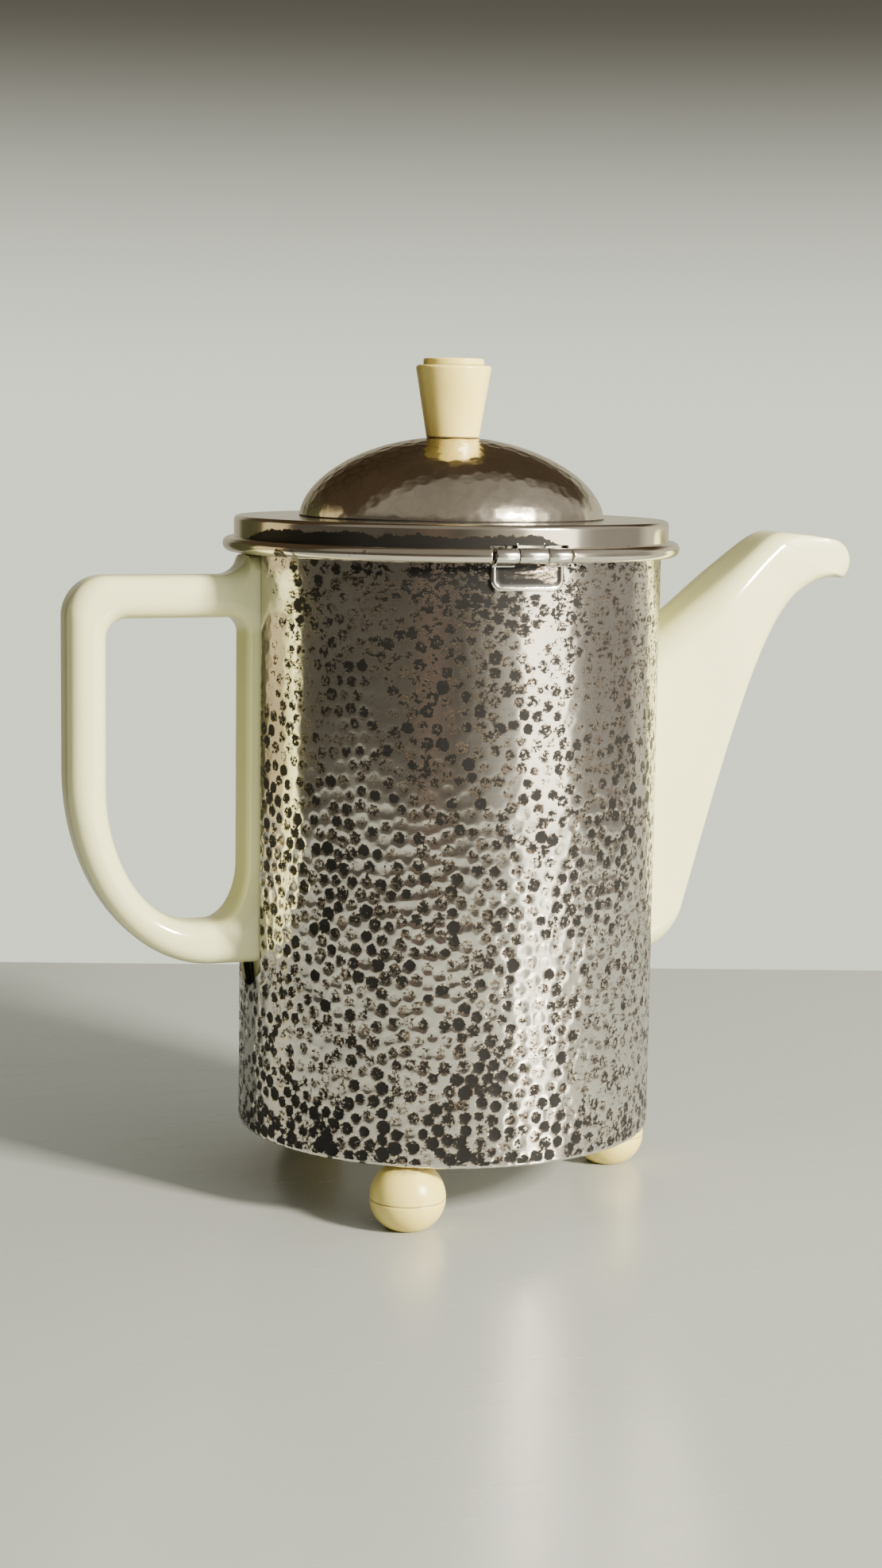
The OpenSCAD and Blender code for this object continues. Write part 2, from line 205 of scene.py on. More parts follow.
def new_piece(name, skin, material, body, node, values=None, sharp=40):
    """Makes a mesh object from closed shells in millimetres that rides on body and replaces node.

    values holds named numbers at the points, which materials read. Edges that turn by more than
    sharp degrees stay crisp. The shell is turned inside out if its enclosed volume is negative.
    """
    points, faces, values = welded(*skin, values or {})
    if volume(points, faces) < 0:
        faces = [f[:, ::-1] for f in faces]
    mesh = bpy.data.meshes.new(name)
    mesh.from_pydata(((points + AXIS) * MM).tolist(), [], sum((f.tolist() for f in faces), []))
    mesh.shade_smooth()
    mesh.set_sharp_from_angle(angle=math.radians(sharp))
    for key, numbers in values.items():
        mesh.attributes.new(key, "FLOAT", "POINT").data.foreach_set("value", numbers.astype(np.float32))
    mesh.materials.append(material)
    piece = bpy.data.objects.new(name, mesh)
    bpy.context.collection.objects.link(piece)
    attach(piece, body)
    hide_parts(node)


def round_axis(r, a, z, centre=(0, 0)):
    """Points from grids of radius, angle and height: x = cx + r cos a, y = cy + r sin a, z = z."""
    return np.stack([centre[0] + r * np.cos(a), centre[1] + r * np.sin(a), z + 0 * a], axis=2)


def turned(profile, steps=192, centre=(0, 0)):
    """Rings of a lathe shape: each profile point (r, z) is carried round the axis."""
    profile = np.array(profile, dtype=float)
    a = 2 * np.pi * np.arange(steps) / steps
    return round_axis(profile[:, :1], a, profile[:, 1:], centre)


# ---- shader expressions

class Value:
    """A shader socket in an expression. Each operator adds a Math node, so it holds numbers."""

    def __init__(self, graph, socket):
        self.graph = graph
        self.socket = socket

    def math(self, operation, *inputs):
        return self.graph.node("ShaderNodeMath", {"operation": operation}, dict(enumerate(inputs)))

    def __add__(self, other):
        return self.math("ADD", self, other)

    def __sub__(self, other):
        return self.math("SUBTRACT", self, other)

    def __mul__(self, other):
        return self.math("MULTIPLY", self, other)

    def __truediv__(self, other):
        return self.math("DIVIDE", self, other)

    def __rsub__(self, other):
        return self.math("SUBTRACT", other, self)

    __radd__ = __add__
    __rmul__ = __mul__

    def most(self, other):
        return self.math("MAXIMUM", self, other)

    def size(self):
        return self.math("ABSOLUTE", self)

    def step(self, low, high):
        """0 up to low and 1 from high on, smooth between; with high below low it falls instead."""
        inputs = {0: self, 1: low, 2: high, 3: 0.0, 4: 1.0}
        return self.graph.node("ShaderNodeMapRange", {"interpolation_type": "SMOOTHSTEP"}, inputs)


class Graph:
    """The node tree of a material or of the world."""

    def __init__(self, owner):
        owner.use_nodes = True
        self.owner = owner
        self.tree = owner.node_tree
        self.tree.nodes.clear()

    def node(self, kind, settings=None, inputs=None, output=0):
        """Adds a node: its settings first, then the value or the link of each input socket.

        The setting stops gives a colour ramp's places and colours. output names or counts the
        socket that is handed back.
        """
        node = self.tree.nodes.new(kind)
        for key, setting in (settings or {}).items():
            if key == "stops":
                self.fill_ramp(node.color_ramp, setting)
            else:
                setattr(node, key, setting)
        for key, value in (inputs or {}).items():
            if isinstance(value, Value):
                self.tree.links.new(value.socket, node.inputs[key])
            else:
                node.inputs[key].default_value = value
        return Value(self, node.outputs[output]) if len(node.outputs) else node

    @staticmethod
    def fill_ramp(ramp, stops):
        while len(ramp.elements) < len(stops):
            ramp.elements.new(1.0)
        for element, (place, colour) in zip(ramp.elements, stops):
            element.position = place
            element.color = (*colour, 1)

    def place(self):
        """The place in metres from the jacket's axis."""
        place = self.node("ShaderNodeTexCoord", output="Object")
        shift = {0: place, 1: tuple(AXIS * MM)}
        return self.node("ShaderNodeVectorMath", {"operation": "SUBTRACT"}, shift)

    def axes(self, vector):
        """The three numbers of a vector."""
        parts = self.node("ShaderNodeSeparateXYZ", inputs={0: vector})
        return [Value(self, s) for s in parts.socket.node.outputs]

    def stretched(self, vector, by):
        return self.node("ShaderNodeVectorMath", {"operation": "MULTIPLY"}, {0: vector, 1: by})

    def along(self, vector, direction):
        """How far a vector reaches along a direction of length 1."""
        inputs = {0: vector, 1: tuple(direction)}
        return self.node("ShaderNodeVectorMath", {"operation": "DOT_PRODUCT"}, inputs, "Value")

    def noise(self, vector, scale, detail=3.0, roughness=0.55):
        inputs = {"Vector": vector, "Scale": scale, "Detail": detail, "Roughness": roughness}
        return self.node("ShaderNodeTexNoise", inputs=inputs)

    def cells(self, vector, scale, feature="F1"):
        settings = {"feature": feature}
        return self.node("ShaderNodeTexVoronoi", settings, {"Vector": vector, "Scale": scale})

    def ramp(self, factor, stops):
        return self.node("ShaderNodeValToRGB", {"stops": stops}, {0: factor})

    def mix(self, factor, a, b, blend="MIX"):
        """Colour b over colour a."""
        colours = {6: opaque(a), 7: opaque(b), 0: factor}
        settings = {"data_type": "RGBA", "blend_type": blend}
        return self.node("ShaderNodeMix", settings, colours, output=2)

    def bump(self, height, strength, distance):
        inputs = {"Height": height, "Strength": strength, "Distance": distance}
        return self.node("ShaderNodeBump", inputs=inputs)

    def surface(self, **inputs):
        """Ends a material: one Principled shader whose sockets take the given values and links."""
        named = {key.replace("_", " "): value for key, value in inputs.items()}
        shader = self.node("ShaderNodeBsdfPrincipled", inputs=named)
        self.node("ShaderNodeOutputMaterial", inputs={"Surface": shader})
        return self.owner


def opaque(colour):
    """A colour of three numbers with its fourth; a socket stays as it is."""
    return colour if isinstance(colour, Value) else (*tuple(colour)[:3], 1.0)


def scaled(colour, by):
    """A colour of three numbers made lighter or darker."""
    return tuple(c * by for c in tuple(colour)[:3])


# ---- sizes and colours that a user would change

def length(name, description, default, low, high):
    """A length in metres, shown in the scene's own unit."""
    return FloatProperty(
        name=name, description=description, default=default, min=low, max=high, unit="LENGTH")


def linear_colour(name, description, default):
    """A colour as three linear numbers."""
    return FloatVectorProperty(
        name=name, description=description, default=default, size=3, min=0, max=1, subtype="COLOR")


class HammeringSizes(bpy.types.PropertyGroup):
    """The hammer marks and the grid that carries them."""

    wall_spacing: length(
        "Wall marks apart", "Distance between hammer marks on the jacket's wall", 0.0037, 0.002, 0.01)
    wall_depth: length(
        "Wall mark depth", "Depth of a hammer mark low on the jacket's wall", 0.00027, 0.0, 0.0004)
    dome_spacing: length(
        "Dome marks apart", "Distance between hammer marks on the lid's dome", 0.0040, 0.002, 0.01)
    dome_depth: length(
        "Dome mark depth", "Depth of a hammer mark on the lid's dome", 0.00009, 0.0, 0.0003)
    grid_step: length(
        "Wall grid step", "Distance between the points of the hammered wall", 0.00055, 0.0005, 0.003)


class FinishColours(bpy.types.PropertyGroup):
    """The base colours of the finishes."""

    silver: linear_colour("Silver plate", "Clean silver plate", (0.80, 0.765, 0.70))
    tarnish: linear_colour("Tarnish", "Black tarnish in the hammer marks", (0.018, 0.018, 0.019))
    porcelain: linear_colour("Porcelain", "Cream glaze of the pot, handle and spout", (0.80, 0.79, 0.44))
    ivory: linear_colour("Ivory plastic", "Knob and ball feet", (0.86, 0.72, 0.23))
    felt: linear_colour("Felt", "Insulating felt in the jacket and the lid", (0.20, 0.26, 0.19))
    brass: linear_colour("Brass", "Screws", (0.70, 0.48, 0.20))
    steel: linear_colour("Steel", "Washers and hinge pin", (0.46, 0.45, 0.44))
    floor: linear_colour("Floor", "Table that the pot stands on", (0.345, 0.36, 0.34))


# ---- finishes

BROWN_EDGE = (0.36, 0.29, 0.23)
# Brown of the dome's painted shade and painted reflection.
BROWN_SHADE_FILM = (0.30, 0.205, 0.11)
# Dark brown of the ivory parts' seams and of their painted shade.
GRIME_AND_SHADE = (0.17, 0.13, 0.08)


def new_finish(name):
    """The graph of a new material, and in it the place in metres from the jacket's axis."""
    graph = Graph(bpy.data.materials.new(name))
    return graph, graph.place()


def plate(name, colours, stain_of, tint=(1, 1, 1), roughness=0.1, brushed=0.5, shade_film_of=None):
    """Silver plate that turns through brown to black where stain_of says that tarnish lies, with painted
    shade on the wall and the slots' edging.

    The last argument says where a thin brown film of painted shade and painted reflection lies,
    which the plate shines through. Both take the graph and the place. Fine lines along the turning
    direction, drawn by noise that varies fastest along Z, roughen and groove the plate.
    """
    clean, brown, full = 0.36, 0.46, 0.56
    graph, place = new_finish(name)
    lines = graph.noise(graph.stretched(place, (1, 1, 14)), 260, 4.0, 0.6)
    cloud = graph.noise(place, 45, 3.0)
    stain = stain_of(graph, place)
    black = stain.step(0.44, full)
    warm = graph.mix(cloud.step(0.4, 0.65), colours.silver, scaled(colours.silver, 0.84))
    tinted = graph.mix(1.0, warm, tint, "MULTIPLY")
    # A brown film of painted shade and painted reflection, where the last argument puts it.
    if shade_film_of:
        tinted = graph.mix(shade_film_of(graph, place), tinted, BROWN_SHADE_FILM)
    stops = [(clean, (1, 1, 1)), (brown, BROWN_EDGE), (full, tuple(colours.tarnish))]
    darker = graph.ramp(stain, stops)
    colour = graph.mix(1.0, tinted, darker, "MULTIPLY")
    rough = roughness + brushed * 0.12 * (lines - 0.4) + 0.08 * cloud + 0.30 * black
    grooves = lines * brushed + black * 0.8
    return graph.surface(
        Base_Color=colour,
        Metallic=1.0 - 0.85 * black,
        Roughness=rough,
        Specular_IOR_Level=0.2,
        Normal=graph.bump(grooves, 0.22, 0.00004),
    )


def wall_stain_and_shadow(graph, place):
    """Tarnish and the hinge plate's painted shadow on the wall: what the hammer marks hold, broken up by
    grain and horizontal smears.
    """
    held = graph.node("ShaderNodeAttribute", {"attribute_name": "stain"}, output="Fac")
    smeared = graph.node("ShaderNodeAttribute", {"attribute_name": "smear"}, output="Fac")
    grain = graph.noise(place, 1000, 4.0, 0.75)
    crumbs = graph.noise(place, 240, 2.0)
    smear = graph.noise(graph.stretched(place, (1, 1, 3.4)), 330, 5.0, 0.7)
    broken = (1.2 + 2.2 * crumbs.step(0.40, 0.62)) * (grain - 0.5)
    return held + broken * (0.75 + 0.35 * smeared) + smeared * (smear - 0.45)


def dome_stain(graph, place):
    """Tarnish of the dome: a thin line along its foot and a few small pits."""
    z = graph.axes(place)[2]
    foot = z.step((ring_top + 0.6) * MM, (ring_top + 0.1) * MM)
    pits = graph.cells(place, 150).step(0.16, 0.08)
    rare = graph.noise(place, 70, 2.0).step(0.54, 0.60)
    grain = graph.noise(place, 900, 3.0)
    haze = graph.noise(graph.stretched(place, (1, 1, 2)), 60, 4.0)
    return foot * 0.8 + pits * rare + 0.4 * (grain - 0.5) + 0.5 * (haze - 0.42)


def dome_shade_and_tarnish(graph, place):
    """Brown film of the dome: painted shade and painted reflection of the dim room over its top, back and
    handle side, which face away from the key light, and brown tarnish along the marks' ridges.
    """
    x, y, z = graph.axes(place)
    # Grows with height and away from the key light's direction over the table: painted shade.
    top = (z + 0.5 * y - 0.34 * x).step((ring_top + 8) * MM, (ring_top + 20) * MM)
    cloud = graph.noise(place, 55, 4.0)
    marks = 1.05 / bpy.context.scene.pot_sizes.dome_spacing
    ridges = graph.cells(place, marks, "DISTANCE_TO_EDGE").step(0.13, 0.02)
    return top * (0.62 + 0.6 * (cloud - 0.5) + 0.30 * ridges) + 0.08 * ridges


def collar_stain(graph, place):
    """Tarnish of the lid's wall: a ragged band above the bead, widest at the left of the hinge."""
    x, y, z = graph.axes(place)
    height = (z - collar_bottom * MM) * 1000
    ragged = graph.noise(graph.stretched(place, (1, 1, 0.6)), 150, 5.0, 0.75)
    front = y.step(0.005, -0.02) * x.step(0.010, 0.002)
    reach = 1.0 + 3.0 * front + 5.0 * (ragged - 0.5)
    band = (reach - height).step(-0.5, 0.5) * (0.35 + 0.45 * front)
    specks = graph.noise(graph.stretched(place, (1, 1, 3)), 520, 3.0)
    edge = z.step(ring_top * MM - 0.0002, ring_top * MM) * 0.12
    return band + 0.5 * (specks - 0.45) + edge


def edging_tarnish_and_shade(graph, place):
    """Painted shade and tarnish of the slots' edging: black inside the wall, where the slot is a shaded
    recess, broken by grain, and bright where the rim rolls outwards.
    """
    x, y, _ = graph.axes(place)
    square = x * x + y * y
    r = square.math("SQRT", square)
    # Painted shade: black on the edging wherever it lies inside the wall, in the slot's recess.
    inside = r.step((jacket_r - 0.1) * MM, (jacket_r - 0.7) * MM)
    grain = graph.noise(place, 600, 4.0, 0.7)
    return 0.9 * inside + 0.5 * (grain - 0.5)


def light_stain(graph, place):
    """Tarnish of polished parts: specks and a few cloudy patches."""
    patches = graph.noise(place, 140, 5.0, 0.7)
    specks = graph.noise(graph.stretched(place, (1, 1, 2)), 800, 3.0)
    return patches.step(0.52, 0.68) * 0.5 + 0.35 * (specks - 0.42)


def hinge_stain(graph, place):
    """Tarnish of the hinge plate: black in the dished middle, bright along the raised edge."""
    held = graph.node("ShaderNodeAttribute", {"attribute_name": "stain"}, output="Fac")
    grain = graph.noise(graph.stretched(place, (1, 1, 2)), 380, 4.0, 0.7)
    return held + 1.1 * (grain - 0.5)


def glaze(name, colours):
    """Glazed porcelain: faint clouds of tone, a hint of orange peel, and warm specks in the body."""
    graph, place = new_finish(name)
    cloud = graph.noise(place, 28, 3.0)
    specks = graph.cells(place, 240).step(0.05, 0.02) * graph.noise(place, 90, 1.0).step(0.6, 0.66)
    tone = graph.mix(cloud, colours.porcelain, scaled(colours.porcelain, 0.93))
    colour = graph.mix(specks * 0.5, tone, (0.36, 0.28, 0.16))
    peel = graph.noise(place, 190, 2.0)
    return graph.surface(
        Base_Color=colour,
        Roughness=0.09 + 0.08 * graph.noise(place, 60, 4.0),
        Normal=graph.bump(peel, 0.10, 0.0003),
        IOR=1.52,
        Coat_Weight=0.3,
        Coat_Roughness=0.05,
    )


def ivory(name, colours, dirt_and_shade_of):
    """Cast ivory plastic: soft flow lines, fine scratches, and dark brown where the last argument says:
    painted shade and dark seams.
    """
    graph, place = new_finish(name)
    flow = graph.noise(graph.stretched(place, (1, 1, 0.45)), 120, 4.0, 0.6)
    deep = tuple(np.array(colours.ivory) * (0.93, 0.88, 0.74))
    body = graph.mix(flow.step(0.35, 0.7), colours.ivory, deep)
    grain = graph.noise(place, 900, 4.0, 0.7)
    grime_and_shade = (dirt_and_shade_of(graph, place) + 0.6 * (grain - 0.5)).step(0.4, 0.9)
    scratches = graph.noise(graph.stretched(place, (1, 1, 9)), 520, 3.0)
    return graph.surface(
        Base_Color=graph.mix(grime_and_shade * 0.75, body, GRIME_AND_SHADE),
        Roughness=0.20 + 0.18 * flow + 0.25 * grime_and_shade,
        Normal=graph.bump(scratches + grain * 0.5, 0.12, 0.00008),
        IOR=1.50,
    )


def foot_seam_and_shade(graph, place):
    """Painted shade at the top under the jacket and round the sole, and a dark line in the moulding seam.
    """
    z = graph.axes(place)[2]
    seam = (z - seam_z() * MM).size().step(0.00030, 0.00012)
    # Painted shade high under the jacket and at the sole; the seam is a dark line.
    return seam * 0.75 + z.step(0.0120, 0.0160) * 0.8 + z.step(0.0016, 0.0002) * 0.6


def knob_painted_shade(graph, place):
    """Painted shade at the knob's foot on the dome and in the step under its cap."""
    z = graph.axes(place)[2]
    foot = z.step((dome_top + 0.7) * MM, (dome_top - 0.2) * MM)
    step = (z - box("knob_cap")[0][2] * MM).size().step(0.00025, 0.00008)
    return foot * 0.8 + step * 0.7


def felted(name, colours):
    """Pressed wool felt: tangled fibres as fine crossed noise, matt and uneven in tone."""
    graph, place = new_finish(name)
    fibres = graph.noise(graph.stretched(place, (1, 4, 1)), 900, 5.0, 0.7)
    across = graph.noise(graph.stretched(place, (4, 1, 2)), 900, 5.0, 0.7)
    tangle = fibres.most(across)
    dark, pale = scaled(colours.felt, 0.6), scaled(colours.felt, 1.35)
    return graph.surface(
        Base_Color=graph.mix(tangle.step(0.4, 0.75), dark, pale),
        Roughness=0.95,
        Normal=graph.bump(tangle, 0.9, 0.0004),
        Sheen_Weight=0.4,
    )


def turned_metal(name, colour, roughness):
    """Small turned metal parts: fine tool lines, dull patches and a slightly worn tone."""
    graph, place = new_finish(name)
    lines = graph.noise(graph.stretched(place, (1, 1, 12)), 700, 3.0)
    patches = graph.noise(place, 300, 4.0, 0.65)
    return graph.surface(
        Base_Color=graph.mix(patches.step(0.4, 0.7), colour, scaled(colour, 0.55)),
        Metallic=1.0,
        Roughness=roughness + 0.25 * patches,
        Normal=graph.bump(lines, 0.3, 0.00005),
    )


def seam_z():
    """Height of the feet's moulding seam: their widest place."""
    low, high = box("foot_front")
    return low[2] + 0.454 * (high[2] - low[2])


def paint(nodes, material):
    """Gives CAD nodes that stay in view a material."""
    for name in nodes:
        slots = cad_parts[name].data.materials
        slots.clear()
        slots.append(material)


# ---- hammering

def mark_places(rows, columns, spacing, pitch, draw):
    """Middles of the hammer marks, as along and up by row and column.

    They start on a staggered grid, are pushed off it at random, and then each pair that is closer
    than the spacing is eased apart eight times by (1 - distance / spacing) / 4 of the spacing.
    """
    row, column = np.meshgrid(np.arange(rows), np.arange(columns), indexing="ij")
    grid = np.stack([(column + 0.5 + 0.5 * (row % 2)) * spacing, (row + 0.5) * pitch])
    place = grid + draw.uniform(-0.5, 0.5, grid.shape) * spacing
    wrap = columns * spacing
    neighbours = [(i, j) for i in range(-2, 3) for j in range(-2, 3) if (i, j) != (0, 0)]
    for _ in range(8):
        shove = np.zeros_like(place)
        for step in neighbours:
            apart = place - np.roll(place, step, axis=(1, 2))
            apart[0] -= wrap * np.round(apart[0] / wrap)
            far = np.hypot(apart[0], apart[1]) + 1e-6
            shove += apart / far * np.clip(1 - far / spacing, 0, 1) * spacing / 4
        place += shove
    return place


def hammer_marks(u, v, spacing, columns, seed):
    """How deep the hammer marks are at places (u, v), from 0 to 1, and how dark they are.

    Each mark has its own size, depth and darkness. With n = 1 - (distance / radius) squared, its
    bowl is the smooth step of 1.35 n, so it has a flat bottom and a steep edge, and its darkness the
    smooth step of 1.5 n; where marks overlap the deeper or darker one counts, which leaves a ridge
    between them. The pattern repeats along u after the given number of columns.
    """
    draw = np.random.default_rng(seed)
    pitch = spacing * 0.9
    rows = int(np.max(v) / pitch) + 3
    middle = mark_places(rows, columns, spacing, pitch, draw)
    radius = spacing * draw.uniform(0.44, 0.60, (rows, columns))
    depth = draw.uniform(0.45, 1.0, (rows, columns))
    dark = np.clip(draw.normal(0.66, 0.17, (rows, columns)), 0.1, 1.0)
    row = np.clip(np.floor(v / pitch).astype(int), 0, rows - 1)
    column = np.floor(u / spacing).astype(int)
    wrap = columns * spacing
    deepest = np.zeros_like(u)
    darkest = np.zeros_like(u)
    for step_up in range(-2, 3):
        r = np.clip(row + step_up, 0, rows - 1)
        for step_on in range(-3, 3):
            c = (column + step_on) % columns
            along = u - middle[0, r, c]
            along -= wrap * np.round(along / wrap)
            up = v - middle[1, r, c]
            near = np.clip(1 - (along**2 + up**2) / radius[r, c] ** 2, 0, None)
            deepest = np.maximum(deepest, depth[r, c] * ease(1.35 * near))
            darkest = np.maximum(darkest, dark[r, c] * ease(1.5 * near))
    return deepest, darkest


def slow_waves(angle, z, seed):
    """A smooth random swell from about -1 to 1: six cosine waves round the axis and along it."""
    draw = np.random.default_rng(seed)
    swell = np.zeros_like(angle + z)
    for turns in range(1, 7):
        length = draw.uniform(40, 120)
        phase = draw.uniform(0, 2 * np.pi, 2)
        swell += np.cos(turns * angle + phase[0]) * np.cos(2 * np.pi * z / length + phase[1]) / 3
    return swell


# ---- jacket

def slot_half_angle(z, width):
    """Half the angle that a slot takes at height z: a circle at its bottom, straight above it."""
    rise = np.clip(z - slot_bottom, 0, width / 2)
    return np.arcsin(np.sqrt(rise * (width - rise)) / jacket_r)


def wall_angles(z, start, columns, first_width, last_width):
    """Angles of a half wall's columns at each height, squeezed aside where a slot is cut.

    A column d round from a slot's middle moves by the slot's half angle times 1 - d / squeeze.
    """
    squeeze = np.radians(50)
    d = np.pi * np.linspace(0, 1, columns)[None, :]
    z = z[:, None]
    away = np.clip(1 - d / squeeze, 0, 1) * slot_half_angle(z, first_width)
    back = np.clip(1 - (np.pi - d) / squeeze, 0, 1) * slot_half_angle(z, last_width)
    return start + d + away - back


# Places on the wall: degrees round, height, width, tallness and strength.
PATCHES = ((-101, 40, 9, 13, 1.0), (-140, 28, 22, 8, 0.7), (-152, 149, 4, 4, 1.3))
HINGE_SMEARS = ((-108, 157, 13, 6, 1.0), (-77, 156, 3, 7, 0.9), (-97, 150, 14, 3, 0.7))
# Painted shadow that the hinge plate casts on the wall below and beside it.
HINGE_SHADOWS = ((-103, 155, 4, 6, 1.0), (-92, 146, 11, 1.8, 0.8))
WIPED_PLACES = ((-168, 148, 8, 24, 0.45), (-86, 140, 5, 9, 0.25), (-87, 50, 4, 24, 0.25))


def swellings(angle, z, places):
    """Round swellings: strength exp(-(arc / width) squared - ((z - height) / tallness) squared)."""
    total = np.zeros_like(angle + z)
    for at, height, wide, tall, strength in places:
        arc_length = jacket_r * ((angle - math.radians(at) + np.pi) % (2 * np.pi) - np.pi)
        total += strength * np.exp(-((arc_length / wide) ** 2) - ((z - height) / tall) ** 2)
    return total


def wall_tarnish_and_shadow(angle, z, held):
    """Tarnish and painted shadow at each place of the wall, and how much it is smeared.

    It is held by the marks and is heaviest along the bottom edge and in a few patches. Near the top
    the marks hold less and it turns to horizontal smears, most of all beside the hinge plate, where a
    painted shadow of the plate darkens it too. On the spout's side it is broken up, a few places are
    wiped clean and the bottom edge is bright.
    """
    low = ease((29 - z + 6 * slow_waves(3 * angle, z, 8)) / 12)
    low = low * (0.55 + 0.45 * ease((-85 - np.degrees(angle)) / 12))
    hinge = swellings(angle, z, HINGE_SMEARS)
    upper = ease((z - 112) / 30)
    side = ease((np.degrees(angle) + 80) / 14)
    rim = ease((jacket_base + 0.9 - z) / 0.5)
    spots = held * (0.90 - 0.12 * upper - 0.14 * side + 0.16 * slow_waves(angle, z, 5))
    spots += 0.34 * low + 0.26 * swellings(angle, z, PATCHES) - 1.5 * rim + 0.22 * hinge
    # Painted shadow of the hinge plate, added to the tarnish.
    spots += 0.35 * swellings(angle, z, HINGE_SHADOWS) - swellings(angle, z, WIPED_PLACES) - 0.04
    return spots, 0.35 + 1.0 * upper + 0.9 * side + 2.0 * hinge


def hammered_half_wall(sizes, start, first_width, last_width):
    """Half the jacket's wall between the slots: a grid of angle and height, outside and inside.

    The outer radius is the jacket's less the marks' depth, which fades towards the top, less a slow
    swell; the inner skin is smooth and has fewer rows. Strips along the four edges close the
    sheet's thickness.
    """
    step = sizes.grid_step / MM
    marks_round = round(2 * np.pi * jacket_r * MM / sizes.wall_spacing)
    spacing = 2 * np.pi * jacket_r / marks_round
    edge, coarser, swell = 0.25, 8, 0.06
    fade_from, fade_over, faded = 76, 36, 0.86
    low_rows = np.linspace(jacket_base + edge, slot_bottom, round((slot_bottom - jacket_base) / step))
    near_slot = slot_bottom + 0.06 * np.arange(1, 5) ** 2
    high_rows = np.arange(near_slot[-1] + step, jacket_top - edge - step / 2, step)
    z = np.concatenate([[jacket_base], low_rows, near_slot, high_rows, [jacket_top - edge, jacket_top]])
    slot_row = len(low_rows)
    round_end = int(np.searchsorted(z, slot_bottom + spout_slot_width / 2)) + 1
    kept = np.concatenate([
        np.arange(0, slot_row, coarser), np.arange(slot_row, round_end, 2),
        np.arange(round_end + 1, len(z) - 1, coarser), [len(z) - 1]])
    columns = round(np.pi * jacket_r / step) + 1
    angle = wall_angles(z, start, columns, first_width, last_width)
    height = z[:, None] + 0 * angle
    u = (angle + np.pi) * jacket_r
    marks, held = hammer_marks(u, height, spacing, marks_round, 11)
    deep = sizes.wall_depth / MM * (1 - faded * ease((height - fade_from) / fade_over))
    inset = edge * np.clip(1 - np.minimum(height - jacket_base, jacket_top - height) / edge, 0, 1)
    r = jacket_r - deep * marks - inset - swell * (1 + slow_waves(angle, height, 3))
    outer = round_axis(r, angle, height)
    inner = round_axis(jacket_r - sheet, angle, height)[kept]
    spots, smears = wall_tarnish_and_shadow(angle, height, held)
    bare = np.zeros(inner.shape[:2]).ravel()
    inner_first = len(z) * columns
    faces = [grid_faces(len(z), columns, False)]
    faces += [grid_faces(len(kept), columns, False, inner_first)[:, ::-1]]
    faces += edge_strips(kept, columns, len(z), inner_first)
    values = {key: np.concatenate([v.ravel(), bare]) for key, v in (("stain", spots), ("smear", smears))}
    return (np.vstack([outer.reshape(-1, 3), inner.reshape(-1, 3)]), faces), values


def edge_strips(kept, columns, rows, inner_first):
    """Faces across the sheet's thickness along a half wall's bottom, top and two upright edges."""
    j = np.arange(columns - 1)
    top = (rows - 1) * columns + j
    inner_bottom = inner_first + j
    inner_top = inner_first + (len(kept) - 1) * columns + j
    strips = [
        np.stack([j, inner_bottom, inner_bottom + 1, j + 1], axis=1),
        np.stack([top, top + 1, inner_top + 1, inner_top], axis=1),
    ]
    for side in (0, columns - 1):
        for k in range(len(kept) - 1):
            along = np.arange(kept[k], kept[k + 1] + 1) * columns + side
            back = inner_first + np.array([k + 1, k]) * columns + side
            face = np.concatenate([along, back])
            strips.append(face[None, ::-1] if side == 0 else face[None, :])
    return strips


# ---- feet

def foot_rings(centre):
    """A ball foot: two half ellipses that meet in a fine seam, flat at the sole and at the top."""
    low, high = box("foot_front")
    seam, top, radius = seam_z(), high[2], (high[0] - low[0]) / 2
    sole_r, top_r, groove = 4.7, 2.8, 0.16
    top_angle = math.degrees(math.acos(top_r / radius))
    sole_angle = math.degrees(math.acos(sole_r / radius))
    fall = seam / math.sin(math.radians(sole_angle))
    rise = (top - seam) / math.sin(math.radians(top_angle))
    lower = arc((0, seam), radius, fall, -sole_angle, -2, 26)
    upper = arc((0, seam), radius, rise, 2, top_angle, 26)
    seam_line = [[radius - 0.02, seam - 0.2], [radius - groove, seam], [radius - 0.02, seam + 0.2]]
    sole = [[core_r, 0], [sole_r - 1.2, 0], [sole_r - 0.5, 0.05]]
    profile = np.vstack([sole, lower, seam_line, upper, [[top_r, top], [core_r, top]]])
    return turned(profile, 96, centre)


# ---- hinge

def knuckle(outline, start, stop):
    """A knuckle of the hinge: an outline of (outward, up) pairs carried along X, its ends blunted."""
    middle = np.array([-pin_y, pin_z])
    x = start + np.array([0.12, 0, 0.056, 0.16])
    inset = np.array([0.30, 0.14, 0.04, 0.0])
    x = np.concatenate([x, (start + stop - x)[::-1]])
    shrink = 1 - np.concatenate([inset, inset[::-1]])[:, None, None] / bead_r
    ring = middle + (outline[None] - middle) * shrink
    along = np.broadcast_to(x[:, None], ring.shape[:2])
    return shell(np.stack([along, -ring[:, :, 0], ring[:, :, 1]], axis=2))


def wall_knuckle_outline():
    """Round the pin, with the leaf's metal running in from the plate below."""
    out = -pin_y
    body = arc((out, pin_z), bead_r, bead_r, -78, 180, 36)
    leaf = run((out - bead_r, pin_z), (out - bead_r, pin_z - 2.6), 4)
    fillet = curve((out - bead_r, pin_z - 2.6), (out - 1.5, pin_z - 2.0), (out - 0.6, pin_z - 1.95),
                   (out + 0.37, pin_z - 1.76), 8)
    return np.vstack([body, leaf, fillet])


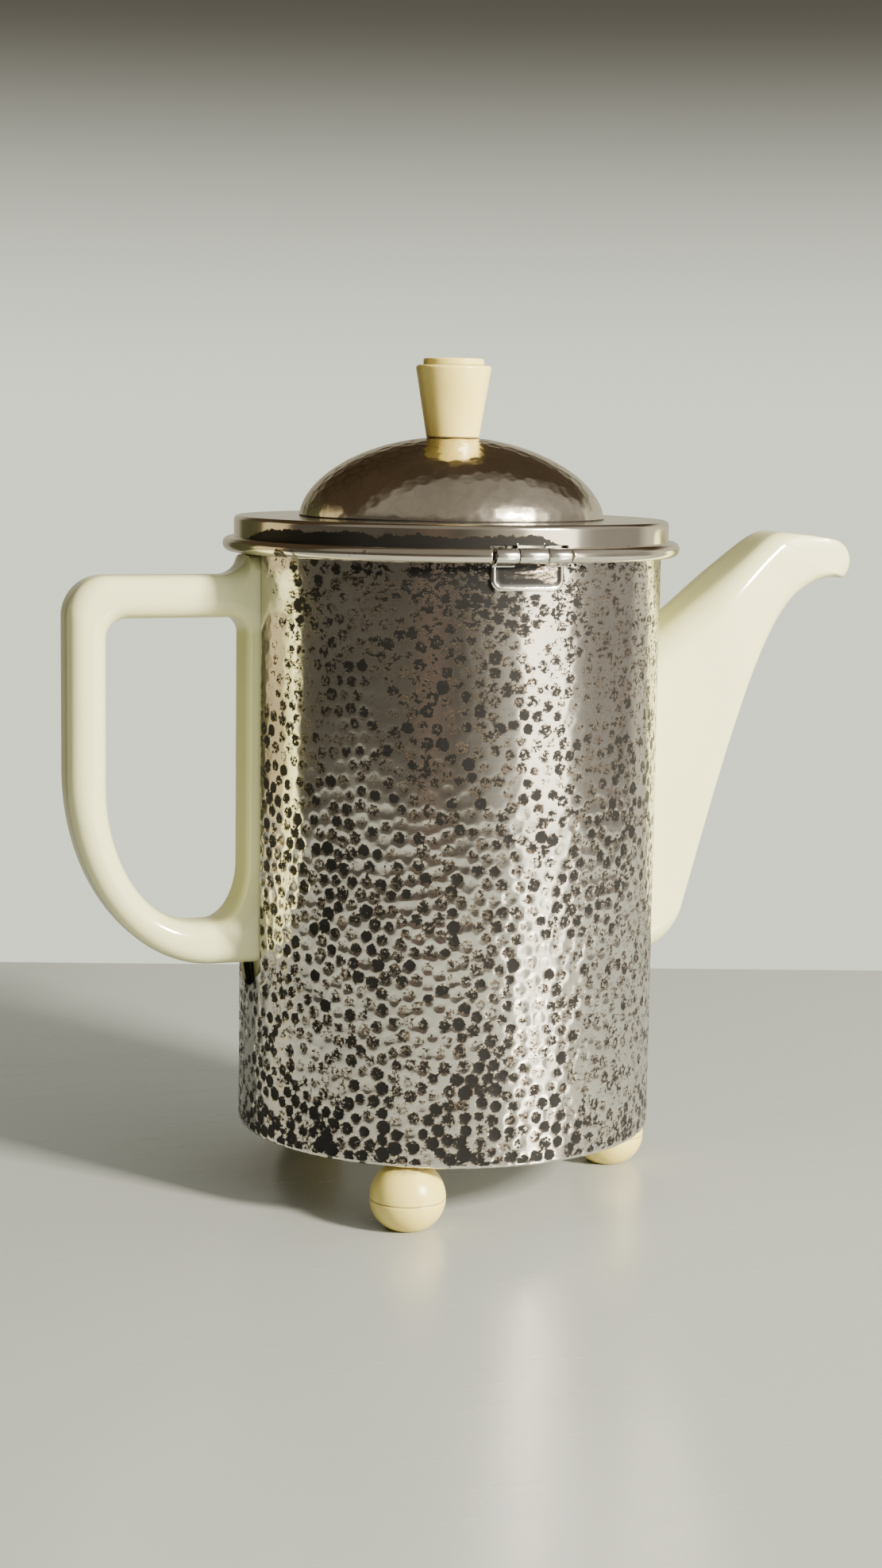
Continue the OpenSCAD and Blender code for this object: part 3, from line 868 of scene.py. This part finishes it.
def lid_knuckle_outline():
    """Round the pin, with a tongue that rises inside the collar's face."""
    out, face, back, top = -pin_y, collar_r - 0.1, collar_r - 0.35, pin_z + 3.3
    body = arc((out, pin_z), bead_r, bead_r, 160, 436, 40)
    tongue = np.vstack([
        run((out + 0.3, pin_z + 1.93), (face, pin_z + 1.97), 4),
        run((face, pin_z + 2.1), (face, top), 3),
        run((back, top), (back, pin_z + 2.3), 3),
    ])
    return np.vstack([body, tongue])


def rounded_outline(half, low, high, c):
    """A plate's outline as (x, z) pairs, square at the top and with lower corners of radius c."""
    return np.vstack([
        run((half, low + c), (half, high), 8),
        run((half, high), (-half, high), 16),
        run((-half, high), (-half, low + c), 8),
        arc((-half + c, low + c), c, c, 180, 270, 9),
        arc((half - c, low + c), c, c, 270, 360, 9),
    ])


def bent_plate():
    """The hinge plate: outlines set in step by step, each at its own height over the round wall.

    The face swells to a raised edge and is dished inside it. A point (x, z) at height h over the
    wall lies at y = - square root of ((radius + h) squared - x squared).
    """
    bottom, top = box("hinge_plate")[0][2], pin_z - 0.4
    steps = [(0, -0.05), (0, 0.55), (0.12, 0.78), (0.35, 0.88), (0.65, 0.88), (1.0, 0.76),
             (1.35, 0.60), (1.9, 0.56), (2.7, 0.58), (3.4, 0.58)]
    rings, stain = [], []
    for inset, height in [(3.4, -0.05), (1.7, -0.05)] + steps:
        corner = max(2.5 - inset * 0.7, 0.35)
        xz = rounded_outline(plate_half - inset, bottom + inset, top - inset * 0.9, corner)
        out = jacket_r + height
        y = -np.sqrt(out**2 - xz[:, 0] ** 2)
        rings.append(np.stack([xz[:, 0], y, xz[:, 1]], axis=1))
        cleaner = (0.24 + 0.025 * xz[:, 0]) * ease((inset - 1.2) / 0.9)
        stain.append(0.82 * ease((inset - 0.7) / 0.5) - cleaner)
    skin = shell(np.array(rings))
    return skin, np.concatenate(stain + [[0.4, 0.4]])


# ---- porcelain

def section_rings(start, end, width, near, far):
    """Rings of rounded rectangles between start and end points in the XZ plane.

    Each is as long as the two points are apart and as wide as given, across Y. Its corners have
    the radius near at the start and far at the end.
    """
    reach = end - start
    length = np.linalg.norm(reach, axis=1)
    direction = reach / length[:, None]
    a = np.radians(90 * np.arange(4)[:, None] + 90 * np.linspace(0, 1, 9))
    corner = np.stack([far, near, near, far], axis=1)
    corner = np.minimum(corner, np.minimum(length, width)[:, None] / 2 - 0.05)
    along = np.stack([length - corner[:, 0], corner[:, 1], corner[:, 2], length - corner[:, 3]], axis=1)
    side = ((width / 2)[:, None] - corner) * np.array([1, 1, -1, -1])
    p = along[:, :, None] + corner[:, :, None] * np.cos(a)
    q = side[:, :, None] + corner[:, :, None] * np.sin(a)
    outline = np.stack([p, q], axis=3)
    following = np.roll(outline[:, :, 0], -1, axis=1)[:, :, None]
    flats = np.array([0.25, 0.5, 0.75])[None, None, :, None]
    between = outline[:, :, -1:] * (1 - flats) + following * flats
    outline = np.concatenate([outline, between], axis=2).reshape(len(start), -1, 2)
    x = start[:, :1] + direction[:, :1] * outline[:, :, 0]
    z = start[:, 1:] + direction[:, 1:] * outline[:, :, 0]
    return np.stack([x, outline[:, :, 1], z], axis=2)


def handle_rings():
    """The handle: sections from the finger hole's edge to the outline, all the way round the hole."""
    n = porcelain_fineness
    face, back = jacket_r + 1.7, box("pot_body")[1][0] - 3.7
    hole_reach, hole_top, hole_bottom = handle_reach - 9.7, handle_top - 10.3, handle_bottom + 10.6
    small, large = 5, 10
    hole_w, hole_h, heel_w, heel_h, nook = 22.5, 34, 8, 14, 4.2
    sweep_w, sweep_h = 36.2, 48.6
    flare_top, flare_r, flare_out = pin_z - bead_r - 0.4, 6.5, face + 5.8
    hole = np.vstack([
        run((face + nook, hole_top), (hole_reach - small, hole_top), 5 * n),
        arc((hole_reach - small, hole_top - small), small, small, 90, 0, 7 * n),
        run((hole_reach, hole_top - small), (hole_reach, hole_bottom + hole_h), 5 * n),
        arc((hole_reach - hole_w, hole_bottom + hole_h), hole_w, hole_h, 0, -90, 14 * n),
        run((hole_reach - hole_w, hole_bottom), (face + heel_w, hole_bottom), 3 * n),
        arc((face + heel_w, hole_bottom + heel_h), heel_w, heel_h, -90, -180, 7 * n),
        run((face, hole_bottom + heel_h), (face, hole_top - nook), 6 * n),
        arc((face + nook, hole_top - nook), nook, nook, 180, 90, 9 * n),
    ])
    outline = np.vstack([
        run((flare_out, handle_top), (handle_reach - large, handle_top), 5 * n),
        arc((handle_reach - large, handle_top - large), large, large, 90, 0, 7 * n),
        run((handle_reach, handle_top - large), (handle_reach, handle_bottom + sweep_h), 5 * n),
        arc((handle_reach - sweep_w, handle_bottom + sweep_h), sweep_w, sweep_h, 0, -90, 14 * n),
        run((handle_reach - sweep_w, handle_bottom), (jacket_r, handle_bottom), 3 * n),
        run((jacket_r, handle_bottom), (back, handle_bottom), 2 * n),
        run((back, handle_bottom), (back, hole_bottom + heel_h), 5 * n),
        run((back, hole_bottom + heel_h), (back, hole_top - nook), 6 * n),
        run((back, hole_top - nook), (back, flare_top), 3 * n),
        run((back, flare_top), (face - 0.4, flare_top), 2 * n),
        arc((flare_out, handle_top + flare_r), flare_r, flare_r, 196, 270, 4 * n),
    ])
    middle = (hole[:, 0] + outline[:, 0]) / 2
    width = bar_width + (rib_width - bar_width) * ease((face + 5 - middle) / 6)
    corner = np.full(len(hole), 4.5)
    rings = section_rings(hole, outline, width, corner, corner)
    rings[:, :, 0] *= -1
    return rings


def spout_rings():
    """The spout: sections from its crest to its underside, out to the lip and back as the channel."""
    n = porcelain_fineness
    root, crest, brink, throat, beak = (46, 56.6), (82, 161.9), (93, 165.2), (60, 66.5), (104, 154)
    top = np.vstack([
        run((root[0], 133.2), crest, 14 * n),
        curve(crest, (86.5, 165.5), (88.5, 166.2), brink, 11 * n),
        [brink],
    ])
    underside = np.vstack([
        curve(root, (52, 56.6), (57.5, 59.5), throat, 5 * n),
        curve(throat, (76, 125.3), (85, 152.8), beak, 12 * n),
        curve(beak, (105.5, 154.1), (106.7, 153.3), (107.6, 154), 2 * n),
        arc((103.6, 158.2), 5.8, 5.7, -46, 82, 7 * n),
    ])[:len(top)]
    x = top[:, 0]
    width = spout_width + (lip_width - spout_width) * ease((x - 68) / 27)
    near = 8 - 4 * ease((x - 60) / 28)
    far = 8 - 4.5 * ease(np.arange(len(top)) / (7 * n))
    outside = section_rings(top, underside, width, near, far)
    edge = section_rings(np.array([[94.3, 164.3]]), np.array([[103.3, 163.1]]),
                         np.array([lip_width - 3.2]), np.array([2.8]), np.array([2.8]))
    t = np.linspace(0, 1, 8)[1:-1, None, None]
    lip = outside[-1:] * (1 - t) + edge * t
    lip[:, :, 2] += 0.45 * np.sin(np.pi * t[:, :, 0])
    inside = np.arange(20 * n, -1, -n)
    direction = underside[inside] - top[inside]
    direction /= np.linalg.norm(direction, axis=1)[:, None]
    crest_wall, wall, bore_corner = 4.6, 4, np.full(len(inside), 3.0)
    channel = section_rings(top[inside] + crest_wall * direction, underside[inside] - wall * direction,
                            width[inside] - 2 * wall, bore_corner, bore_corner)
    return np.concatenate([outside, lip, edge, channel])


# ---- lid

def collar_rings(steps=360):
    """The lid's wall and flat ring: a lathe profile whose lower edge is lifted over the hinge."""
    corner = 1.2
    inner_r = collar_r - sheet
    ring_low = ring_top - sheet
    notch_half = hinge_half + 0.4
    notch_top = pin_z + bead_r + 0.5
    side = math.asin(notch_half / collar_r)
    a = np.linspace(-np.pi, np.pi, steps, endpoint=False)
    a = np.sort(np.concatenate([a, -np.pi / 2 + np.array([-side - 0.001, -side, side, side + 0.001])]))
    lifted = np.abs(a + np.pi / 2) <= side + 0.0001
    bottom = np.where(lifted, notch_top, collar_bottom)
    profile = np.vstack([
        [[inner_r, 0], [collar_r - 0.15, 0], [collar_r, 0.15]],
        run((collar_r, notch_top + 0.3), (collar_r, ring_top - corner), 8),
        arc((collar_r - corner, ring_top - corner), corner, corner, 0, 90, 10),
        run((collar_r - corner, ring_top), (dome_hole_r, ring_top), 12),
        run((dome_hole_r, ring_top - 0.1), (dome_hole_r, ring_low), 2),
        run((dome_hole_r, ring_low), (inner_r - 1, ring_low), 6),
        arc((inner_r - 1, ring_low - 1), 1, 1, 90, 0, 5),
        run((inner_r, ring_low - 1), (inner_r, notch_top + 0.3), 3),
    ])
    r, z = profile[:, :1], profile[:, 1:] + 0 * a
    return round_axis(r, a, z + np.where(z < collar_bottom / 2, bottom, 0))


def bead_rings(steps=300, around=28):
    """The wire bead: a circle carried round the lid, with blunt ends on both sides of the hinge."""
    gap = math.asin((hinge_half + 0.4) / bead_circle_r)
    blunt = np.array([0, 0.0001, 0.0026, 0.006])
    middle = np.linspace(0.01, 2 * np.pi - 2 * gap - 0.01, steps)
    turn = np.concatenate([blunt, middle, (2 * np.pi - 2 * gap - blunt)[::-1]])
    shrink = np.concatenate([[0.6, 0.86, 0.96, 1.0], np.ones(steps), [1.0, 0.96, 0.86, 0.6]])
    a = (-np.pi / 2 + gap + turn)[:, None]
    b = 2 * np.pi * np.arange(around) / around
    r = bead_circle_r + bead_r * shrink[:, None] * np.cos(b)
    return round_axis(r, a, pin_z + bead_r * shrink[:, None] * np.sin(b))


def dome_profile(radius, height, n):
    """The dome from rim to top: r = radius cos a, z = height (sin a) to the power of its fullness."""
    a = np.linspace(0, np.pi / 2, n)
    return np.stack([radius * np.cos(a), ring_top + height * np.sin(a) ** dome_fullness], axis=1)


def hammered_dome(sizes, steps=320):
    """The dome's sheet: an outer lathe skin pressed in by shallow hammer marks, and a smooth inner one.

    Marks are laid out on the flattened dome, where a place's distance from the middle is its
    distance along the surface from the top.
    """
    height = dome_top - ring_top
    outside = dome_profile(dome_r, height, 96)[:-1]
    inside = dome_profile(dome_r - sheet, height - sheet, 24)[:-1][::-1]
    hole = (0.3, dome_top), (0.3, dome_top - sheet)
    rings = turned(np.vstack([outside, hole, inside]), steps)
    n = len(outside)
    steps_along = np.linalg.norm(np.diff(outside, axis=0, append=[[0, dome_top]]), axis=1)
    from_top = np.cumsum(steps_along[::-1])[::-1][:, None]
    a = 2 * np.pi * np.arange(steps) / steps
    spacing = sizes.dome_spacing / MM
    far = 60.0
    marks, _ = hammer_marks(far + from_top * np.cos(a), far + from_top * np.sin(a), spacing, 64, 23)
    outward = rings[:n] - np.array([0, 0, ring_top - height])
    outward /= np.linalg.norm(outward, axis=2)[:, :, None]
    rings[:n] -= outward * (sizes.dome_depth / MM * marks * ease(from_top / 9))[:, :, None]
    return shell(rings, closed=True)


def knob_rings():
    """The knob: a cone that widens upwards from the dome, with a small round shoulder."""
    low, high = box("lid_knob")
    top_r, foot_r, shoulder, seat = high[0], 6.6, 0.8, low[2]
    profile = np.vstack([
        [[core_r, seat + 0.3], [foot_r - 0.5, seat + 0.05]],
        arc((foot_r - 0.3, seat + 0.35), 0.35, 0.35, -80, -5, 5),
        run((foot_r + 0.05, seat + 0.6), (top_r, high[2] - shoulder), 30),
        arc((top_r - shoulder, high[2] - shoulder), shoulder, shoulder, 0, 90, 10),
        [[top_r - shoulder, high[2]], [top_r - 3.0, high[2]], [core_r, high[2]]],
    ])
    return turned(profile, 128)


def cap_rings():
    """The disc on the knob: straight sides, a round edge and a barely domed top."""
    low, high = box("knob_cap")
    r, edge = high[0], 0.5
    profile = np.vstack([
        [[core_r, low[2]], [r - 0.1, low[2]], [r, low[2] + 0.1]],
        run((r, low[2] + 0.4), (r, high[2] - edge - 0.15), 3),
        arc((r - edge, high[2] - edge - 0.15), edge, edge, 0, 80, 8),
        [[r * 0.75, high[2] - 0.08], [r * 0.45, high[2] - 0.02], [core_r, high[2]]],
    ])
    return turned(profile, 128)


# ---- operators

class MakeJacket(bpy.types.Operator):
    """Hammer the jacket's wall and finish the jacket's edging and floor"""

    bl_idname = "coffee_pot.jacket"
    bl_label = "Jacket"

    def execute(self, context):
        sizes, colours = context.scene.pot_sizes, context.scene.pot_colours
        silver = plate("hammered silver", colours, wall_stain_and_shadow, roughness=0.09, brushed=0.4)
        for side, start, first, last in (("front", -np.pi, handle_slot_width, spout_slot_width),
                                         ("back", 0.0, spout_slot_width, handle_slot_width)):
            skin, values = hammered_half_wall(sizes, start, first, last)
            name = f"hammered_wall_{side}"
            new_piece(name, skin, silver, "jacket", "jacket_wall", values, 50)
        polished = plate("polished silver", colours, light_stain, roughness=0.07, brushed=0.35)
        paint(["jacket_floor"], polished)
        edging = plate("edging silver", colours, edging_tarnish_and_shade, roughness=0.08, brushed=0.3)
        paint(["handle_slot_edging", "spout_slot_edging"], edging)
        return {"FINISHED"}


class MakeFeet(bpy.types.Operator):
    """Turn the three ball feet"""

    bl_idname = "coffee_pot.feet"
    bl_label = "Feet"

    def execute(self, context):
        plastic = ivory("ivory feet", context.scene.pot_colours, foot_seam_and_shade)
        for node in ("foot_front", "foot_spout", "foot_back"):
            skin = shell(foot_rings(sum(box(node))[:2] / 2))
            new_piece(f"ball_{node}", skin, plastic, "jacket", node, sharp=60)
        return {"FINISHED"}


class MakeHinge(bpy.types.Operator):
    """Make the hinge's plate and its knuckles on the jacket and on the lid"""

    bl_idname = "coffee_pot.hinge"
    bl_label = "Hinge"

    def execute(self, context):
        silver = plate("hinge silver", context.scene.pot_colours, hinge_stain, roughness=0.07, brushed=0.3)
        skin, stain = bent_plate()
        inner_end = knuckle_half + 0.25
        left = knuckle(wall_knuckle_outline(), -hinge_half, -inner_end)
        right = knuckle(wall_knuckle_outline(), inner_end, hinge_half)
        whole = joined(skin, left, right)
        values = {"stain": np.concatenate([stain, np.zeros(len(whole[0]) - len(stain))])}
        new_piece("hinge_leaf_jacket", whole, silver, "jacket", "hinge_plate", values)
        tongue = knuckle(lid_knuckle_outline(), -knuckle_half, knuckle_half)
        new_piece("hinge_leaf_lid", tongue, silver, "lid", "hinge_lid_leaf")
        return {"FINISHED"}


class MakePorcelain(bpy.types.Operator):
    """Shape the porcelain handle and spout and glaze the pot"""

    bl_idname = "coffee_pot.porcelain"
    bl_label = "Porcelain"

    def execute(self, context):
        cream = glaze("cream glaze", context.scene.pot_colours)
        paint(["pot_body"], cream)
        for part, rings, sharp in (("handle", handle_rings(), 60), ("spout", spout_rings(), 70)):
            skin = shell(rings, closed=True)
            new_piece(f"porcelain_{part}", skin, cream, "jacket", f"pot_{part}", sharp=sharp)
        return {"FINISHED"}


class MakeLid(bpy.types.Operator):
    """Hammer the dome and turn the lid's ring and bead"""

    bl_idname = "coffee_pot.lid"
    bl_label = "Lid"

    def execute(self, context):
        colours = context.scene.pot_colours
        dome = hammered_dome(context.scene.pot_sizes)
        brown = plate("dome silver", colours, dome_stain, (0.95, 0.91, 0.84), 0.11, 0.7, dome_shade_and_tarnish)
        new_piece("hammered_dome", dome, brown, "lid", "lid_dome")
        warm = plate("lid silver", colours, collar_stain, (0.97, 0.94, 0.89), 0.08, 0.4)
        new_piece("lid_ring", shell(collar_rings(), closed=True), warm, "lid", "lid_collar")
        polished = plate("bead silver", colours, light_stain, (1, 0.97, 0.9), 0.07, 0.3)
        new_piece("wire_bead", shell(bead_rings()), polished, "lid", "lid_bead")
        return {"FINISHED"}


class MakeKnob(bpy.types.Operator):
    """Turn the knob and its cap"""

    bl_idname = "coffee_pot.knob"
    bl_label = "Knob"

    def execute(self, context):
        plastic = ivory("ivory knob", context.scene.pot_colours, knob_painted_shade)
        new_piece("cone_knob", shell(knob_rings()), plastic, "lid", "lid_knob")
        new_piece("knob_disc", shell(cap_rings()), plastic, "lid", "knob_cap")
        return {"FINISHED"}


class FinishInside(bpy.types.Operator):
    """Finish the felt, the screws, the washers and the hinge pin"""

    bl_idname = "coffee_pot.inside"
    bl_label = "Felt and fastenings"

    def execute(self, context):
        colours = context.scene.pot_colours
        paint(["felt_wall", "felt_floor", "lid_felt"], felted("felt", colours))
        paint(["foot_screws", "knob_screw"], turned_metal("brass", colours.brass, 0.22))
        steel = turned_metal("steel", colours.steel, 0.28)
        paint(["foot_washers", "knob_washer", "hinge_pin"], steel)
        return {"FINISHED"}


class MakeStage(bpy.types.Operator):
    """Set the table, the light and the camera"""

    bl_idname = "coffee_pot.stage"
    bl_label = "Stage"

    def execute(self, context):
        make_floor(context.scene.pot_colours)
        make_key_light()
        make_world()
        make_camera()
        return {"FINISHED"}


# ---- stage

VIEW_TURN = math.radians(-19.86)
VIEW_BACK = Vector((math.sin(-VIEW_TURN), math.cos(VIEW_TURN), 0))
VIEW_RIGHT = Vector((math.cos(VIEW_TURN), math.sin(VIEW_TURN), 0))


def make_floor(colours):
    """A pale satin table top that ends at the wall behind the pot, with faint scuffs."""
    graph, place = new_finish("table paint")
    scuffs = graph.noise(graph.stretched(place, (1, 7, 1)), 26, 6.0, 0.7)
    cloud = graph.noise(place, 5, 4.0)
    material = graph.surface(
        Base_Color=graph.mix(cloud, scaled(colours.floor, 0.96), scaled(colours.floor, 1.04)),
        Roughness=0.18 + 0.15 * scuffs,
        Normal=graph.bump(scuffs, 0.06, 0.0008),
    )
    rear, front, side, depth = 0.28, -0.55, 0.6, 0.03
    top = [(-side, front, 0), (side, front, 0), (side, rear, 0), (-side, rear - 0.03, 0)]
    points = np.array(top + [(x, y, -depth) for x, y, _ in top])
    faces = [(0, 1, 2, 3), (7, 6, 5, 4), (0, 4, 5, 1), (1, 5, 6, 2), (2, 6, 7, 3), (3, 7, 4, 0)]
    turn = np.array(Matrix.Rotation(VIEW_TURN, 3, "Z"))
    mesh = bpy.data.meshes.new("table")
    mesh.from_pydata((points @ turn.T + AXIS * MM).tolist(), [], faces)
    mesh.materials.append(material)
    floor = bpy.data.objects.new("table", mesh)
    bpy.context.collection.objects.link(floor)


def make_key_light():
    """A warm square light, low on the right of the camera, that faces the pot."""
    turn, rise, distance = math.radians(53), math.radians(25), 1.8
    away = (VIEW_RIGHT * math.sin(turn) - VIEW_BACK * math.cos(turn)) * math.cos(rise)
    away.z = math.sin(rise)
    data = bpy.data.lights.new("key", "AREA")
    data.shape = "SQUARE"
    data.size = 0.26
    data.energy = 128
    data.color = (1.0, 0.93, 0.78)
    light = bpy.data.objects.new("key", data)
    light.location = away * distance + Vector((axis_x * MM, 0, 0.09))
    light.rotation_mode = "QUATERNION"
    light.rotation_quaternion = away.to_track_quat("Z", "Y")
    bpy.context.collection.objects.link(light)


def make_world():
    """The room: pale walls behind and beside the pot, a dim room behind the camera with a window.

    The ramp goes round the pot from behind it over the handle's side to the front and the spout's.
    Matt surfaces are lit by an even, soft light from the window's side instead. The camera sees a wall in
    its place, with painted shade towards its top.
    """
    graph = Graph(bpy.data.worlds.new("room"))
    look = graph.node("ShaderNodeTexCoord", output="Generated")
    back = graph.along(look, VIEW_BACK)
    right = graph.along(look, VIEW_RIGHT)
    up = graph.axes(look)[2]
    turn = right.math("ARCTAN2", right, 0.0 - back) / (2 * math.pi) + 0.5
    sides = graph.ramp(turn, [
        (0.00, (0.60, 0.56, 0.42)), (0.08, (0.40, 0.38, 0.28)), (0.10, (0.10, 0.10, 0.05)),
        (0.174, (0.09, 0.09, 0.04)), (0.182, (0.95, 0.78, 0.42)), (0.234, (0.95, 0.78, 0.42)),
        (0.245, (0.092, 0.084, 0.066)), (0.44, (0.105, 0.092, 0.074)), (0.475, (0.17, 0.125, 0.10)),
        (0.515, (0.11, 0.098, 0.08)), (0.545, (0.22, 0.20, 0.17)), (0.60, (0.60, 0.57, 0.48)),
        (0.70, (0.55, 0.52, 0.45)), (0.72, (0.35, 0.325, 0.28)), (0.82, (0.34, 0.31, 0.27)),
        (0.85, (0.85, 0.80, 0.62)), (1.00, (0.60, 0.56, 0.42))])
    window = turn.step(0.605, 0.617) * turn.step(0.695, 0.683) * up.step(0.72, 0.62)
    sides = graph.mix(window, sides, (4.4, 4.1, 3.3))
    front = graph.mix(right.step(0.1, 0.7), (0.29, 0.265, 0.22), (0.44, 0.41, 0.36))
    above = graph.mix((back - 0.5 * right).step(0.05, 0.30), front, (0.075, 0.052, 0.030))
    room = graph.mix(up.step(0.20, 0.42) * (1.0 - window), sides, above)
    soft = graph.mix(right.step(-0.15, 0.6), (0.02, 0.016, 0.012), (1.9, 1.93, 1.8))
    soft = graph.mix(up.step(0.55, 0.95), soft, (0.85, 0.87, 0.80))
    # The wall that the camera sees: bright low down and dark towards the top, painted shade of its upper
    # part.
    wall = graph.mix(up.step(0.0, 0.16), (1.20, 1.22, 1.02), (0.105, 0.095, 0.075))
    matt = graph.node("ShaderNodeLightPath", output="Is Diffuse Ray")
    seen = graph.node("ShaderNodeLightPath", output="Is Camera Ray")
    colour = graph.mix(seen, graph.mix(matt, room, soft), wall)
    shader = graph.node("ShaderNodeBackground", inputs={"Color": colour, "Strength": 1.0})
    graph.node("ShaderNodeOutputWorld", inputs={"Surface": shader})
    bpy.context.scene.world = graph.owner


def make_camera():
    """The camera stands a little above the lid's height on the handle's side of the hinge."""
    distance, height, side = 0.6587, 0.1905, math.radians(20)
    data = bpy.data.cameras.new("camera")
    data.lens = 60.245
    data.sensor_width = 36
    camera = bpy.data.objects.new("camera", data)
    x = axis_x * MM - distance * math.sin(side)
    camera.location = (x, -distance * math.cos(side), height)
    tilt = Matrix.Rotation(math.radians(90 - 7.68), 3, "X")
    roll = Matrix.Rotation(math.radians(0.854), 3, "Z")
    camera.rotation_euler = (Matrix.Rotation(VIEW_TURN, 3, "Z") @ tilt @ roll).to_euler()
    bpy.context.collection.objects.link(camera)
    bpy.context.scene.camera = camera


# ---- panel

class CoffeePotPanel(bpy.types.Panel):
    """Lists the steps that make the coffee pot, and the values that they read"""

    bl_idname = "VIEW3D_PT_coffee_pot"
    bl_label = "Coffee pot"
    bl_space_type = "VIEW_3D"
    bl_region_type = "UI"
    bl_category = "Coffee pot"

    def draw(self, context):
        scene = context.scene
        for group in (scene.pot_sizes, scene.pot_colours):
            for key in group.__annotations__:
                self.layout.prop(group, key)
        for step in STEPS:
            self.layout.operator(step.bl_idname)


STEPS = (MakeJacket, MakeFeet, MakeHinge, MakePorcelain, MakeLid, MakeKnob, FinishInside, MakeStage)
CLASSES = (HammeringSizes, FinishColours, *STEPS, CoffeePotPanel)


def register():
    for kind in CLASSES:
        bpy.utils.register_class(kind)
    bpy.types.Scene.pot_sizes = PointerProperty(type=HammeringSizes)
    bpy.types.Scene.pot_colours = PointerProperty(type=FinishColours)


def unregister():
    del bpy.types.Scene.pot_colours
    del bpy.types.Scene.pot_sizes
    for kind in reversed(CLASSES):
        bpy.utils.unregister_class(kind)


def main():
    """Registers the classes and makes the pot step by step."""
    register()
    for step in (bpy.ops.coffee_pot.jacket, bpy.ops.coffee_pot.feet, bpy.ops.coffee_pot.hinge,
                 bpy.ops.coffee_pot.porcelain, bpy.ops.coffee_pot.lid, bpy.ops.coffee_pot.knob,
                 bpy.ops.coffee_pot.inside, bpy.ops.coffee_pot.stage):
        step()


if __name__ == "__main__":
    main()
